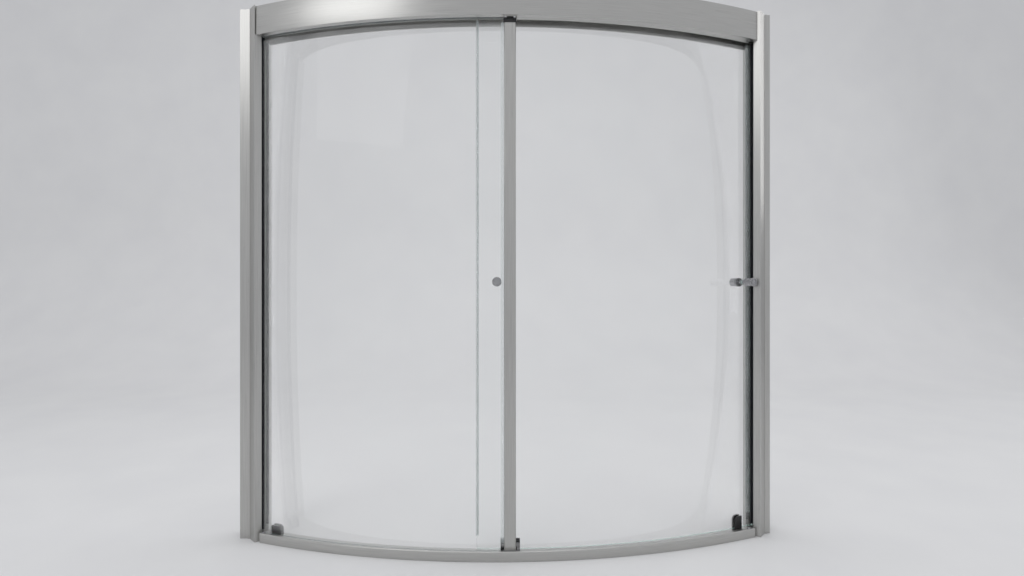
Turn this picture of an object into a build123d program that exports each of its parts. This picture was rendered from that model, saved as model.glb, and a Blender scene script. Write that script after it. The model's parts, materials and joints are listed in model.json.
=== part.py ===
"""Bow-front shower enclosure: a curved header and sill between two jambs, one fixed pane of bent
glass with a post at its free edge, and one bent door that rolls along the header behind them.

Millimetres, +Z up, +X to the right as seen from the room, +Y into the bath. The origin is at the
middle of the sill's underside. Header, sill and panes are arcs about one upright bow axis, so their
sections are drawn in radial planes, where x is the distance from that axis and y is the height.
"""

from build123d import *
from math import asin, cos, degrees, radians, sin, sqrt
import os

# Bow: the arc that header, sill and panes follow
FRONT_R = 2000.0
RAIL_DEPTH = 68.0
HALF_SPAN = 706.0

# Heights
HEADER_Z = 1413.0
HEADER_H = 80.0
JAMB_H = 1495.0
SILL_FRONT_H = 26.0
SILL_REAR_H = 3.0

# Walls and jambs; each jamb is drawn out of its wall channel until it is plumb
WALL_LEFT = 759.0
WALL_RIGHT = 754.0
MOUTH_LEFT = 693.0
MOUTH_RIGHT = 700.0
JAMB_WALL = 2.0
JAMB_WIDTH = 44.0
JAMB_PEAK_OUT = 14.0
JAMB_PEAK_Y = -4.0
JAMB_MOUTH_Y = 8.0
JAMB_LEG_Y = 20.0
JAMB_BACK_Y = 76.0
JAMB_BEVEL_OUT = 38.0
POCKET_DEPTH = 18.0
DIVIDER_Y = 26.8
REAR_LIP_Y = 57.0
STRIP_WIDTH = 4.4
STRIP_DEPTH = 6.0
STRIP_PROUD = 1.0
CHANNEL_WALL = 1.8
CHANNEL_LEG = 33.0
CHANNEL_GAP = 0.3

# Glass
GLASS = 6.0
FIXED_SETBACK = 16.0
DOOR_SETBACK = 31.0
FIXED_BOTTOM_Z = 13.0
FIXED_TOP_Z = 1430.0
FIXED_LEFT_X = -702.0
FIXED_EDGE_X = -2.0
DOOR_BOTTOM_Z = 19.0
DOOR_TOP_Z = 1468.0
DOOR_LEFT_X = -86.0
DOOR_RIGHT_X = 709.0

# Header section
HEADER_WALL = 2.5
POCKET_WALL = 2.0
POCKET_TOP_Z = 1432.0
GASKET_FRONT = 2.0
GASKET_REAR = 2.5
GASKET_H = 11.0
LEDGE_Z = 1440.0
LEDGE_OUT = 20.5
BEAD_IN = 15.0
BEAD_RADIUS = 2.0
BEAD_LIFT = 0.5
PORT_RADIUS = 3.4
PORT_BORE = 2.1

# Sill section
SILL_BEVEL = 2.0
SILL_POCKET_Z = 10.0
SILL_WALL = 2.4
SILL_REAR_RIB = 14.0

# Fillers and loose fits
FIT = 0.3
SHANK_FIT = 0.1
SEAT_GAP = 0.02
CROWN_GAP = 0.07
SEAL_GAP = 0.1
FILLER_H = 6.0
SETTING_ANGLES = (-16.0, -5.0)
SETTING_LENGTH = 60.0
GASKET_OVERRUN = 1.5

# Post at the free edge of the fixed pane
POST_LEFT_X = -14.0
POST_RIGHT_X = 17.0
POST_FRONT_OUT = 3.0
POST_REAR_OUT = 4.0
POST_WALL = 1.8
POST_BEVEL = 1.6
POST_BOTTOM_Z = 25.0
POST_SEAL_OUT = 8.0
POST_SEAL_T = 1.6
PILE_WIDTH = 8.0
PILE_GAP = 0.4
HEAD_PLATE_H = 2.5
HEAD_PLATE_SIDE = 3.0
HEAD_CAP_WALL = 1.6
HEAD_CAP_H = 11.0
GUIDE_LEFT_X = -23.0
GUIDE_RIGHT_X = 28.0
GUIDE_JAW = 3.6
GUIDE_TOP_Z = 44.0
GUIDE_PAD_H = 6.0
GUIDE_PAD_T = 1.4
GUIDE_PAD_BOTTOM_Z = 20.0
GUIDE_CLEARANCE = 0.6
FOOT_T = 1.5
FOOT_REAR_R = 1946.0
FOOT_SCREW_XS = (-14.0, 19.0)
FOOT_SCREW_R = 1951.0
HEAD_SCREW_XS = (-10.0, 13.0)
HEAD_SCREW_IN = 7.0

# Hangers and wheels
HANGER_ANGLES = (1.2, 17.6)
HANGER_LENGTH = 100.0
HANGER_T = 3.0
HANGER_PAD = 1.0
HANGER_BOTTOM_Z = 1443.5
HANGER_TOP_Z = 1472.0
HANGER_CORNER = 6.0
WHEEL_PITCH = 64.0
WHEEL_R = 14.0
TREAD_R = 12.0
WHEEL_WIDTH = 10.0
GROOVE_R = 2.4
ROLL_GAP = 0.05
BEARING_R = 8.0
BEARING_RACE = 1.6
BEARING_RECESS = 0.8
AXLE_R = 3.0
AXLE_FIT = 0.05
AXLE_HEAD_R = 5.0
AXLE_HEAD_H = 2.5
AXLE_SIDE_GAP = 0.4
AXLE_SHOULDER_R = 4.5
CLAMP_PITCH = 24.0
CLAMP_R = 4.0
CLAMP_HEAD_R = 6.5
CLAMP_HEAD_H = 4.0
CLAMP_NUT_R = 7.0
CLAMP_NUT_H = 5.0
CLAMP_NUT_GAP = 1.0
BUSH_WALL = 2.0
BUSH_FLANGE_R = 8.5

# Header brackets and stops
BRACKET_IN = 22.0
BRACKET_FRONT_Y = 44.0
BRACKET_BACK_Y = 56.0
BRACKET_BOTTOM_Z = 1444.0
BRACKET_SCREW_R = 2.5
BRACKET_SCREW_HEAD_R = 4.5
BRACKET_SCREW_HEAD_H = 3.0
BRACKET_SCREW_ZS = (1451.5, 1463.5)
ROOF_SCREW_LENGTH = 18.0
STOP_LENGTH = 12.0
STOP_GAP = 0.4
DOOR_TRAVEL = 17.9

# Knobs
KNOB_Z = 724.0
KNOB_R = 12.5
KNOB_HEAD = 26.0
KNOB_NECK = 11.0
KNOB_NECK_R = 6.0
KNOB_FACE_R = 7.0
KNOB_RING = 1.4
KNOB_FACE_DEPTH = 1.0
KNOB_WASHER_R = 8.0
KNOB_EDGE = 1.5
BUTTON_H = 6.0
STUD_R = 3.0
WASHER_H = 1.0
LEADING_KNOB_X = 678.0
TRAILING_KNOB_X = -33.0

# Seals and small parts
EDGE_SEAL = 3.0
EDGE_SEAL_T = 1.0
EDGE_SEAL_LIP = 2.5
EDGE_SEAL_FIN = 21.0
EDGE_SEAL_BOTTOM_Z = 55.0
TRAILING_SEAL = 2.0
TRAILING_SEAL_LIP = 5.0
WALL_HOLE_R = 2.75
WALL_HOLE_PITCH = 620.0
SCREW_HEAD_R = 3.8
SCREW_HEAD_H = 2.4
SCREW_R = 1.9
SCREW_LENGTH = 7.0
JAMB_SCREW_OUT = 38.0
JAMB_SCREW_PITCH = 640.0
CORNER_LEFT = (-667.0, -637.0)
CORNER_LEFT_TOP_Z = 40.0
CORNER_RIGHT = (668.0, 645.0)
CORNER_RIGHT_TOP_Z = 54.0
CORNER_JAW = 3.6
CORNER_ARCH_R = 12.0
SILL_SCREW_XS = (-683.5, 683.5)
SILL_SCREW_FROM_FRONT = 8.0
SILL_SCREW_HEAD_R = 5.0
SILL_SCREW_HEAD_H = 4.5
SILL_SCREW_LENGTH = 16.0

# Worked out from the sizes above
REAR_R = FRONT_R - RAIL_DEPTH
BOW_R = (FRONT_R + REAR_R) / 2
END_Y = BOW_R - sqrt(FRONT_R**2 - HALF_SPAN**2)
MID_Z = JAMB_H / 2
SIDES = ((-1, MOUTH_LEFT, WALL_LEFT, "left"), (1, MOUTH_RIGHT, WALL_RIGHT, "right"))
WEB_OUT = POCKET_DEPTH + JAMB_WALL
CHANNEL_FRONT_Y = JAMB_LEG_Y + JAMB_WALL + CHANNEL_GAP
CHANNEL_BACK_Y = JAMB_BACK_Y - JAMB_WALL - CHANNEL_GAP
WALL_HOLE_Y = END_Y + (CHANNEL_FRONT_Y + CHANNEL_BACK_Y) / 2
SILL_LEFT = -MOUTH_LEFT + FIT
SILL_RIGHT = MOUTH_RIGHT - FIT
FIXED_FRONT = FRONT_R - FIXED_SETBACK
FIXED_REAR = FIXED_FRONT - GLASS
DOOR_FRONT = FRONT_R - DOOR_SETBACK
DOOR_REAR = DOOR_FRONT - GLASS
POCKET_FRONT = FIXED_FRONT + GASKET_FRONT
POCKET_REAR = FIXED_REAR - GASKET_REAR
HEADER_TOP = HEADER_Z + HEADER_H
ROOF_Z = HEADER_TOP - HEADER_WALL
LEDGE_R = REAR_R + HEADER_WALL + LEDGE_OUT
BEAD_R = REAR_R + BEAD_IN
AXLE_Z = LEDGE_Z + BEAD_LIFT + BEAD_RADIUS + ROLL_GAP + TREAD_R
WHEEL_HALF = WHEEL_WIDTH / 2
PLATE_FRONT = DOOR_REAR - HANGER_PAD
PLATE_REAR = PLATE_FRONT - HANGER_T
POST_FRONT = FIXED_FRONT + POST_FRONT_OUT
POST_REAR = FIXED_REAR - POST_REAR_OUT
POST_TOP_Z = HEADER_Z - HEAD_PLATE_H
SLOT_FRONT_Y = BOW_R - FIXED_FRONT - FIT
SLOT_REAR_Y = BOW_R - FIXED_REAR + FIT
HEAD_SCREW_Y = BOW_R - FRONT_R + HEAD_SCREW_IN
JAW_FRONT = DOOR_FRONT + GUIDE_CLEARANCE
JAW_REAR = DOOR_REAR - GUIDE_CLEARANCE
FOOT_LIFT = FOOT_T + CROWN_GAP + SEAT_GAP
BRACKET_Y = END_Y + (BRACKET_FRONT_Y + BRACKET_BACK_Y) / 2
ROOF_SCREW_X = HALF_SPAN - BRACKET_IN / 2
WHEEL_REACH = degrees((WHEEL_PITCH / 2 + WHEEL_R + STOP_GAP) / BEAD_R)
STOP_SPAN = degrees(STOP_LENGTH / BEAD_R)
BOW_AXIS = Axis((0, BOW_R, 0), (0, 0, 1))


def angle_at(x, radius):
    """Angle about the bow axis, in degrees, of the point of an arc that is x to the right."""
    return degrees(asin(x / radius))


def sill_top(radius):
    """Height of the sill's sloping top at a distance from the bow axis."""
    front = FRONT_R - SILL_BEVEL
    return SILL_REAR_H + (SILL_FRONT_H - SILL_REAR_H) * (radius - REAR_R) / (front - REAR_R)


def section_plane(angle):
    """Upright plane through the bow axis: x is the radius and y is the height."""
    a = radians(angle)
    return Plane(origin=(0, BOW_R, 0), x_dir=(sin(a), -cos(a), 0), z_dir=(-cos(a), -sin(a), 0))


def facing_plane(angle, radius, z):
    """Plane that touches an arc: its normal points from the bow axis out to the room."""
    a = radians(angle)
    origin = (radius * sin(a), BOW_R - radius * cos(a), z)
    return Plane(origin=origin, x_dir=(cos(a), sin(a), 0), z_dir=(sin(a), -cos(a), 0))


def turning_plane(angle, radius, z):
    """Plane through a wheel's axis: x runs out along the axis and y is up."""
    a = radians(angle)
    origin = (radius * sin(a), BOW_R - radius * cos(a), z)
    return Plane(origin=origin, x_dir=(sin(a), -cos(a), 0), z_dir=(-cos(a), -sin(a), 0))


def bow_point(angle, radius):
    """Plan position of a point that stands at an angle and a distance from the bow axis."""
    a = radians(angle)
    return (radius * sin(a), BOW_R - radius * cos(a))


def block(x0, x1, y0, y1, mode=Mode.ADD):
    """Rectangle between two corners of the current sketch."""
    with Locations(((x0 + x1) / 2, (y0 + y1) / 2)):
        Rectangle(abs(x1 - x0), abs(y1 - y0), mode=mode)


def outline(points, mode=Mode.ADD):
    """Face with the given corners in the current sketch."""
    Polygon(*points, align=None, mode=mode)


def jamb_block(side, mouth, outs, ys, mode=Mode.ADD):
    """Rectangle of a jamb's plan: outs run from the mouth to the wall, ys back from the header end."""
    block(side * (mouth + outs[0]), side * (mouth + outs[1]), END_Y + ys[0], END_Y + ys[1], mode)


def rod(plane, radius, length, mode=Mode.ADD):
    """Round bar that starts on a plane and runs along its normal, or against it below zero."""
    end = Align.MIN if length > 0 else Align.MAX
    with Locations(plane):
        Cylinder(radius, abs(length), align=(Align.CENTER, Align.CENTER, end), mode=mode)


def foot_z(radius):
    """Height of a flat-bottomed foot on the sill, clear of the crown that the bow gives the slope."""
    return sill_top(radius) + CROWN_GAP


def stand_on_sill(inner, outer, top_z):
    """Section of an upright wall whose foot follows the sill's slope."""
    outline([(inner, foot_z(inner)), (outer, foot_z(outer)), (outer, top_z), (inner, top_z)])


def sweep_bow(start, end):
    """Turn the pending section about the bow axis, from one angle to the other."""
    revolve(axis=BOW_AXIS, revolution_arc=end - start)


def slope_plane(x, radius, lift):
    """Plane raised a little above the sill's sloping top, with its normal square to the slope."""
    angle = angle_at(x, radius)
    a = radians(angle)
    slope = (SILL_FRONT_H - SILL_REAR_H) / (FRONT_R - SILL_BEVEL - REAR_R)
    return Plane(origin=(*bow_point(angle, radius), sill_top(radius) + lift),
                 z_dir=(-slope * sin(a), slope * cos(a), 1))


def along_x(side, x, y, z):
    """Plane at a point whose normal points to the wall on one side."""
    return Plane(origin=(side * x, y, z), z_dir=(side, 0, 0))


def finish(part, name):
    """Label a finished piece and write its file."""
    part.label = name
    export_step(part, f"parts/{name}.step")


os.makedirs("parts", exist_ok=True)

# Header rail: fascia, roof, rear wall, glazing pocket and the ledge that the wheels run on
RAIL_ANGLE = angle_at(HALF_SPAN, REAR_R) + 0.5
BEAD_ANGLE = angle_at(HALF_SPAN - BRACKET_IN - BEAD_RADIUS, BEAD_R)

with BuildPart() as header_rail:
    with BuildSketch(section_plane(-RAIL_ANGLE)):
        block(FRONT_R - HEADER_WALL, FRONT_R, HEADER_Z, HEADER_TOP)
        block(REAR_R, FRONT_R, ROOF_Z, HEADER_TOP)
        block(REAR_R, REAR_R + HEADER_WALL, HEADER_Z, HEADER_TOP)
        block(POCKET_FRONT, FRONT_R, HEADER_Z, HEADER_Z + HEADER_WALL)
        block(POCKET_FRONT, POCKET_FRONT + POCKET_WALL, HEADER_Z, POCKET_TOP_Z + POCKET_WALL)
        block(POCKET_REAR - POCKET_WALL, FRONT_R, POCKET_TOP_Z, POCKET_TOP_Z + POCKET_WALL)
        block(POCKET_REAR - POCKET_WALL, POCKET_REAR, HEADER_Z, POCKET_TOP_Z + POCKET_WALL)
        block(REAR_R, LEDGE_R, LEDGE_Z - HEADER_WALL, LEDGE_Z)
        block(FRONT_R - HEADER_WALL - 2 * PORT_RADIUS, FRONT_R, ROOF_Z - 2 * PORT_RADIUS, ROOF_Z)
        with Locations((FRONT_R - HEADER_WALL - PORT_RADIUS, ROOF_Z - PORT_RADIUS)):
            Circle(PORT_BORE, mode=Mode.SUBTRACT)
    sweep_bow(-RAIL_ANGLE, RAIL_ANGLE)
    split(bisect_by=Plane.YZ.offset(HALF_SPAN), keep=Keep.BOTTOM)
    split(bisect_by=Plane.YZ.offset(-HALF_SPAN), keep=Keep.TOP)
    with BuildSketch(section_plane(-BEAD_ANGLE)):
        with Locations((BEAD_R, LEDGE_Z + BEAD_LIFT)):
            Circle(BEAD_RADIUS)
    sweep_bow(-BEAD_ANGLE, BEAD_ANGLE)
    with Locations((-ROOF_SCREW_X, BRACKET_Y, HEADER_TOP), (ROOF_SCREW_X, BRACKET_Y, HEADER_TOP)):
        CounterSinkHole(BRACKET_SCREW_R + SHANK_FIT, BRACKET_SCREW_HEAD_R + SHANK_FIT,
                        depth=2 * HEADER_WALL, counter_sink_angle=90)
    for x in HEAD_SCREW_XS:
        rod(Plane(origin=(x, HEAD_SCREW_Y, HEADER_Z)), SCREW_R, HEADER_WALL, Mode.SUBTRACT)
finish(header_rail.part, "header_rail")

# Header filler: closes the empty glazing pocket over the doorway
filler_start = angle_at(POST_RIGHT_X + HEAD_PLATE_SIDE + FIT, FRONT_R)
filler_end = angle_at(SILL_RIGHT - POCKET_WALL, FRONT_R)

with BuildPart() as header_filler:
    with BuildSketch(section_plane(filler_start)):
        block(POCKET_REAR, POCKET_FRONT, HEADER_Z, HEADER_Z + FILLER_H)
        block(POCKET_REAR + POCKET_WALL, POCKET_FRONT - POCKET_WALL, HEADER_Z + POCKET_WALL,
              HEADER_Z + FILLER_H, mode=Mode.SUBTRACT)
    sweep_bow(filler_start, filler_end)
finish(header_filler.part, "header_filler")

# Header brackets: blocks that the header's roof rests on, screwed to each jamb's web
for side, mouth, wall, name in SIDES:
    inner_x = HALF_SPAN - BRACKET_IN
    web_x = mouth + POCKET_DEPTH
    with BuildPart() as header_bracket:
        with BuildSketch(Plane.XY.offset(BRACKET_BOTTOM_Z)):
            block(side * inner_x, side * web_x, END_Y + BRACKET_FRONT_Y, END_Y + BRACKET_BACK_Y)
        extrude(amount=ROOF_Z - BRACKET_BOTTOM_Z)
        rod(Plane(origin=(side * ROOF_SCREW_X, BRACKET_Y, ROOF_Z)), BRACKET_SCREW_R,
            -ROOF_SCREW_LENGTH, Mode.SUBTRACT)
        for z in BRACKET_SCREW_ZS:
            inner_end = along_x(side, inner_x, BRACKET_Y, z)
            rod(inner_end, BRACKET_SCREW_R + SHANK_FIT, web_x - inner_x, Mode.SUBTRACT)
            rod(inner_end, BRACKET_SCREW_HEAD_R + FIT, BRACKET_SCREW_HEAD_H, Mode.SUBTRACT)
    finish(header_bracket.part, "header_bracket_" + name)

with BuildPart() as header_screws:
    for side in (-1, 1):
        seat = Plane(origin=(side * ROOF_SCREW_X, BRACKET_Y, HEADER_TOP))
        with BuildSketch(seat):
            Circle(BRACKET_SCREW_HEAD_R)
        extrude(amount=-(BRACKET_SCREW_HEAD_R - BRACKET_SCREW_R), taper=45)
        rod(seat, BRACKET_SCREW_R, -HEADER_WALL - ROOF_SCREW_LENGTH)
finish(header_screws.part, "header_screws")

with BuildPart() as bracket_screws:
    for side, mouth, wall, name in SIDES:
        inner_x = HALF_SPAN - BRACKET_IN
        for z in BRACKET_SCREW_ZS:
            inner_end = along_x(side, inner_x, BRACKET_Y, z)
            rod(inner_end, BRACKET_SCREW_HEAD_R, BRACKET_SCREW_HEAD_H)
            rod(inner_end, BRACKET_SCREW_R, mouth + WEB_OUT - inner_x)
finish(bracket_screws.part, "bracket_screws")

# Door stops: rubber blocks on the ledge, just past the outermost wheels at each end of the travel
with BuildPart() as door_stops:
    for start in (HANGER_ANGLES[0] - WHEEL_REACH - DOOR_TRAVEL - STOP_SPAN,
                  HANGER_ANGLES[1] + WHEEL_REACH):
        with BuildSketch(section_plane(start)):
            block(BEAD_R - WHEEL_HALF, BEAD_R + WHEEL_HALF, LEDGE_Z, AXLE_Z + BEARING_R)
            with Locations((BEAD_R, LEDGE_Z + BEAD_LIFT)):
                Circle(BEAD_RADIUS, mode=Mode.SUBTRACT)
        sweep_bow(start, start + STOP_SPAN)
finish(door_stops.part, "door_stops")

# Sill: hollow curved extrusion that slopes into the bath, with a groove for the fixed pane
with BuildPart() as sill_track:
    with BuildSketch(section_plane(-RAIL_ANGLE)):
        outline([(FRONT_R, 0), (FRONT_R, SILL_FRONT_H - SILL_BEVEL),
                 (FRONT_R - SILL_BEVEL, SILL_FRONT_H), (REAR_R, SILL_REAR_H), (REAR_R, 0)])
        block(POCKET_REAR, POCKET_FRONT, SILL_POCKET_Z, SILL_FRONT_H, mode=Mode.SUBTRACT)
        for inner, outer in ((REAR_R + SILL_REAR_RIB, POCKET_REAR - SILL_WALL),
                             (POCKET_FRONT + SILL_WALL, FRONT_R - SILL_WALL)):
            outline([(inner, SILL_WALL), (outer, SILL_WALL), (outer, sill_top(outer) - SILL_WALL),
                     (inner, sill_top(inner) - SILL_WALL)], mode=Mode.SUBTRACT)
    sweep_bow(-RAIL_ANGLE, RAIL_ANGLE)
    split(bisect_by=Plane.YZ.offset(SILL_RIGHT), keep=Keep.BOTTOM)
    split(bisect_by=Plane.YZ.offset(SILL_LEFT), keep=Keep.TOP)
    for x in FOOT_SCREW_XS:
        rod(slope_plane(x, FOOT_SCREW_R, FOOT_LIFT), SCREW_R, -SCREW_LENGTH, Mode.SUBTRACT)
    for x in SILL_SCREW_XS:
        rod(slope_plane(x, FRONT_R - SILL_SCREW_FROM_FRONT, SEAT_GAP), SCREW_R, -SILL_SCREW_LENGTH,
            Mode.SUBTRACT)
finish(sill_track.part, "sill_track")

# Sill filler: closes the empty groove under the doorway, level with the slope
with BuildPart() as sill_filler:
    with BuildSketch(section_plane(filler_start)):
        outline([(POCKET_REAR, SILL_POCKET_Z), (POCKET_FRONT, SILL_POCKET_Z),
                 (POCKET_FRONT, sill_top(POCKET_FRONT)), (POCKET_REAR, sill_top(POCKET_REAR))])
        block(POCKET_REAR + POCKET_WALL, POCKET_FRONT - POCKET_WALL, SILL_POCKET_Z,
              SILL_POCKET_Z + FILLER_H, mode=Mode.SUBTRACT)
    sweep_bow(filler_start, filler_end)
finish(sill_filler.part, "sill_filler")

# Wall channels: U sections screwed to the walls, which the jambs slide over
for side, mouth, wall, name in SIDES:
    with BuildPart() as wall_channel:
        with BuildSketch():
            block(side * (wall - CHANNEL_LEG), side * wall,
                  END_Y + CHANNEL_FRONT_Y, END_Y + CHANNEL_BACK_Y)
            block(side * (wall - CHANNEL_LEG), side * (wall - CHANNEL_WALL),
                  END_Y + CHANNEL_FRONT_Y + CHANNEL_WALL, END_Y + CHANNEL_BACK_Y - CHANNEL_WALL,
                  mode=Mode.SUBTRACT)
        extrude(amount=JAMB_H)
        for step in (-1, 0, 1):
            rod(along_x(side, wall - CHANNEL_WALL, WALL_HOLE_Y, MID_Z + step * WALL_HOLE_PITCH),
                WALL_HOLE_R, CHANNEL_WALL, Mode.SUBTRACT)
            rod(Plane(origin=(side * (mouth + JAMB_SCREW_OUT), END_Y + CHANNEL_BACK_Y,
                              MID_Z + step * JAMB_SCREW_PITCH), z_dir=(0, 1, 0)),
                SCREW_R, -CHANNEL_WALL, Mode.SUBTRACT)
    finish(wall_channel.part, "wall_channel_" + name)

# Jambs: hollow bevelled extrusions with an outer and an inner pocket, notched for the header
for side, mouth, wall, name in SIDES:
    nose = [(0, JAMB_MOUTH_Y), (JAMB_PEAK_OUT, JAMB_PEAK_Y), (JAMB_BEVEL_OUT, JAMB_LEG_Y),
            (JAMB_WIDTH, JAMB_LEG_Y), (JAMB_WIDTH, JAMB_BACK_Y), (0, JAMB_BACK_Y)]
    with BuildPart() as jamb:
        with BuildSketch():
            outline([(side * (mouth + out), END_Y + y) for out, y in nose])
            offset(amount=-JAMB_WALL, kind=Kind.INTERSECTION, mode=Mode.SUBTRACT)
            jamb_block(side, mouth, (0, WEB_OUT), (JAMB_MOUTH_Y, JAMB_MOUTH_Y + JAMB_WALL))
            jamb_block(side, mouth, (0, WEB_OUT), (REAR_LIP_Y, REAR_LIP_Y + JAMB_WALL))
            jamb_block(side, mouth, (POCKET_DEPTH, WEB_OUT), (JAMB_MOUTH_Y, JAMB_BACK_Y))
            jamb_block(side, mouth, (0, JAMB_WALL), (JAMB_MOUTH_Y + JAMB_WALL, REAR_LIP_Y),
                       Mode.SUBTRACT)
            jamb_block(side, mouth, (STRIP_DEPTH, WEB_OUT),
                       (DIVIDER_Y - JAMB_WALL / 2, DIVIDER_Y + JAMB_WALL / 2))
            jamb_block(side, mouth, (JAMB_WIDTH - JAMB_WALL, JAMB_WIDTH),
                       (JAMB_LEG_Y + JAMB_WALL, JAMB_BACK_Y - JAMB_WALL), Mode.SUBTRACT)
        extrude(amount=JAMB_H)
        with BuildSketch(Plane.XY.offset(HEADER_Z)):
            block(side * (mouth - FIT), side * (HALF_SPAN + FIT), 0, 2 * END_Y)
        extrude(amount=JAMB_H - HEADER_Z, mode=Mode.SUBTRACT)
        for z in BRACKET_SCREW_ZS:
            rod(along_x(side, mouth + POCKET_DEPTH, BRACKET_Y, z), BRACKET_SCREW_R, JAMB_WALL,
                Mode.SUBTRACT)
        for step in (-1, 0, 1):
            rod(Plane(origin=(side * (mouth + JAMB_SCREW_OUT), END_Y + JAMB_BACK_Y,
                              MID_Z + step * JAMB_SCREW_PITCH), z_dir=(0, 1, 0)),
                SCREW_R + SHANK_FIT, -JAMB_WALL, Mode.SUBTRACT)
    finish(jamb.part, "jamb_" + name)

    with BuildPart() as jamb_strips:
        with BuildSketch(Plane.XY.offset(SILL_FRONT_H + STRIP_PROUD)):
            jamb_block(side, mouth, (-STRIP_PROUD, STRIP_DEPTH),
                       (DIVIDER_Y - STRIP_WIDTH / 2, DIVIDER_Y + STRIP_WIDTH / 2))
            jamb_block(side, mouth, (-STRIP_PROUD, STRIP_DEPTH),
                       (REAR_LIP_Y - STRIP_WIDTH, REAR_LIP_Y))
        extrude(amount=HEADER_Z - SILL_FRONT_H - STRIP_PROUD)
    finish(jamb_strips.part, "jamb_strips_" + name)

with BuildPart() as jamb_screws:
    for side, mouth, wall, name in SIDES:
        for step in (-1, 0, 1):
            seat = Plane(origin=(side * (mouth + JAMB_SCREW_OUT), END_Y + JAMB_BACK_Y,
                                 MID_Z + step * JAMB_SCREW_PITCH), z_dir=(0, 1, 0))
            rod(seat, SCREW_HEAD_R, SCREW_HEAD_H)
            rod(seat, SCREW_R, -SCREW_LENGTH)
    fillet(jamb_screws.faces().filter_by(Plane.XZ).group_by(Axis.Y)[-1].edges(), SCREW_HEAD_H / 3)
finish(jamb_screws.part, "jamb_screws")

# Fixed pane and what beds it
fixed_start = angle_at(FIXED_LEFT_X, FIXED_FRONT)
fixed_end = angle_at(FIXED_EDGE_X, FIXED_FRONT)

with BuildPart() as fixed_glass:
    with BuildSketch(section_plane(fixed_start)):
        block(FIXED_REAR, FIXED_FRONT, FIXED_BOTTOM_Z, FIXED_TOP_Z)
    sweep_bow(fixed_start, fixed_end)
finish(fixed_glass.part, "fixed_glass")

gasket_start = angle_at(SILL_LEFT + POCKET_WALL, FIXED_FRONT)
gasket_end = angle_at(POST_LEFT_X - HEAD_PLATE_SIDE - FIT, FIXED_FRONT)

with BuildPart() as header_gasket:
    with BuildSketch(section_plane(gasket_start)):
        block(FIXED_FRONT, POCKET_FRONT, HEADER_Z, HEADER_Z + GASKET_H)
        block(POCKET_REAR, FIXED_REAR, HEADER_Z, HEADER_Z + GASKET_H)
    sweep_bow(gasket_start, gasket_end)
finish(header_gasket.part, "header_gasket")

with BuildPart() as sill_gasket:
    with BuildSketch(section_plane(gasket_start)):
        block(FIXED_FRONT, POCKET_FRONT, FIXED_BOTTOM_Z, sill_top(FIXED_FRONT))
        block(POCKET_REAR, FIXED_REAR, FIXED_BOTTOM_Z, sill_top(POCKET_REAR))
    sweep_bow(gasket_start, gasket_end)
finish(sill_gasket.part, "sill_gasket")

jamb_gasket_start = angle_at(FIXED_LEFT_X - GASKET_OVERRUN, FIXED_FRONT)
jamb_gasket_end = angle_at(-MOUTH_LEFT + STRIP_PROUD, FIXED_FRONT)

with BuildPart() as jamb_gasket:
    with BuildSketch(section_plane(jamb_gasket_start)):
        block(POCKET_REAR, POCKET_FRONT - FIT, SILL_FRONT_H + STRIP_PROUD, HEADER_Z)
    sweep_bow(jamb_gasket_start, jamb_gasket_end)
    with BuildSketch(section_plane(fixed_start)):
        block(FIXED_REAR, FIXED_FRONT, 0, JAMB_H)
    revolve(axis=BOW_AXIS, revolution_arc=-fixed_start, mode=Mode.SUBTRACT)
finish(jamb_gasket.part, "jamb_gasket")

with BuildPart() as setting_blocks:
    for angle in SETTING_ANGLES:
        with BuildSketch(section_plane(angle)):
            block(POCKET_REAR, POCKET_FRONT, SILL_POCKET_Z, FIXED_BOTTOM_Z)
        sweep_bow(angle, angle + degrees(SETTING_LENGTH / FIXED_FRONT))
finish(setting_blocks.part, "setting_blocks")

# Centre post: a bevelled box section that grips the free edge of the fixed pane
with BuildPart() as centre_post:
    with BuildSketch(Plane.XY.offset(POST_BOTTOM_Z)) as post_plan:
        block(POST_LEFT_X, POST_RIGHT_X, BOW_R - POST_FRONT, BOW_R - POST_REAR)
        chamfer(post_plan.vertices().group_by(Axis.Y)[0], POST_BEVEL)
        block(POST_LEFT_X, FIXED_EDGE_X + FIT, SLOT_FRONT_Y, SLOT_REAR_Y, Mode.SUBTRACT)
        block(FIXED_EDGE_X + FIT + POST_WALL, POST_RIGHT_X - POST_WALL,
              BOW_R - POST_FRONT + POST_WALL, BOW_R - POST_REAR - POST_WALL, Mode.SUBTRACT)
    extrude(amount=POST_TOP_Z - POST_BOTTOM_Z)
finish(centre_post.part, "centre_post")

with BuildPart() as post_seal:
    with BuildSketch(Plane.XY.offset(GUIDE_TOP_Z)):
        block(POST_LEFT_X - POST_SEAL_OUT, POST_LEFT_X, SLOT_FRONT_Y - POST_SEAL_T, SLOT_FRONT_Y)
    extrude(amount=POST_TOP_Z - HEAD_CAP_H - GUIDE_TOP_Z)
finish(post_seal.part, "post_seal")

with BuildPart() as post_pile:
    with BuildSketch(Plane.XY.offset(GUIDE_TOP_Z + FIT)):
        block(-PILE_WIDTH / 2, PILE_WIDTH / 2, BOW_R - POST_REAR, BOW_R - DOOR_FRONT - PILE_GAP)
    extrude(amount=POST_TOP_Z - HEAD_CAP_H - GUIDE_TOP_Z - 2 * FIT)
finish(post_pile.part, "post_pile")

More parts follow.
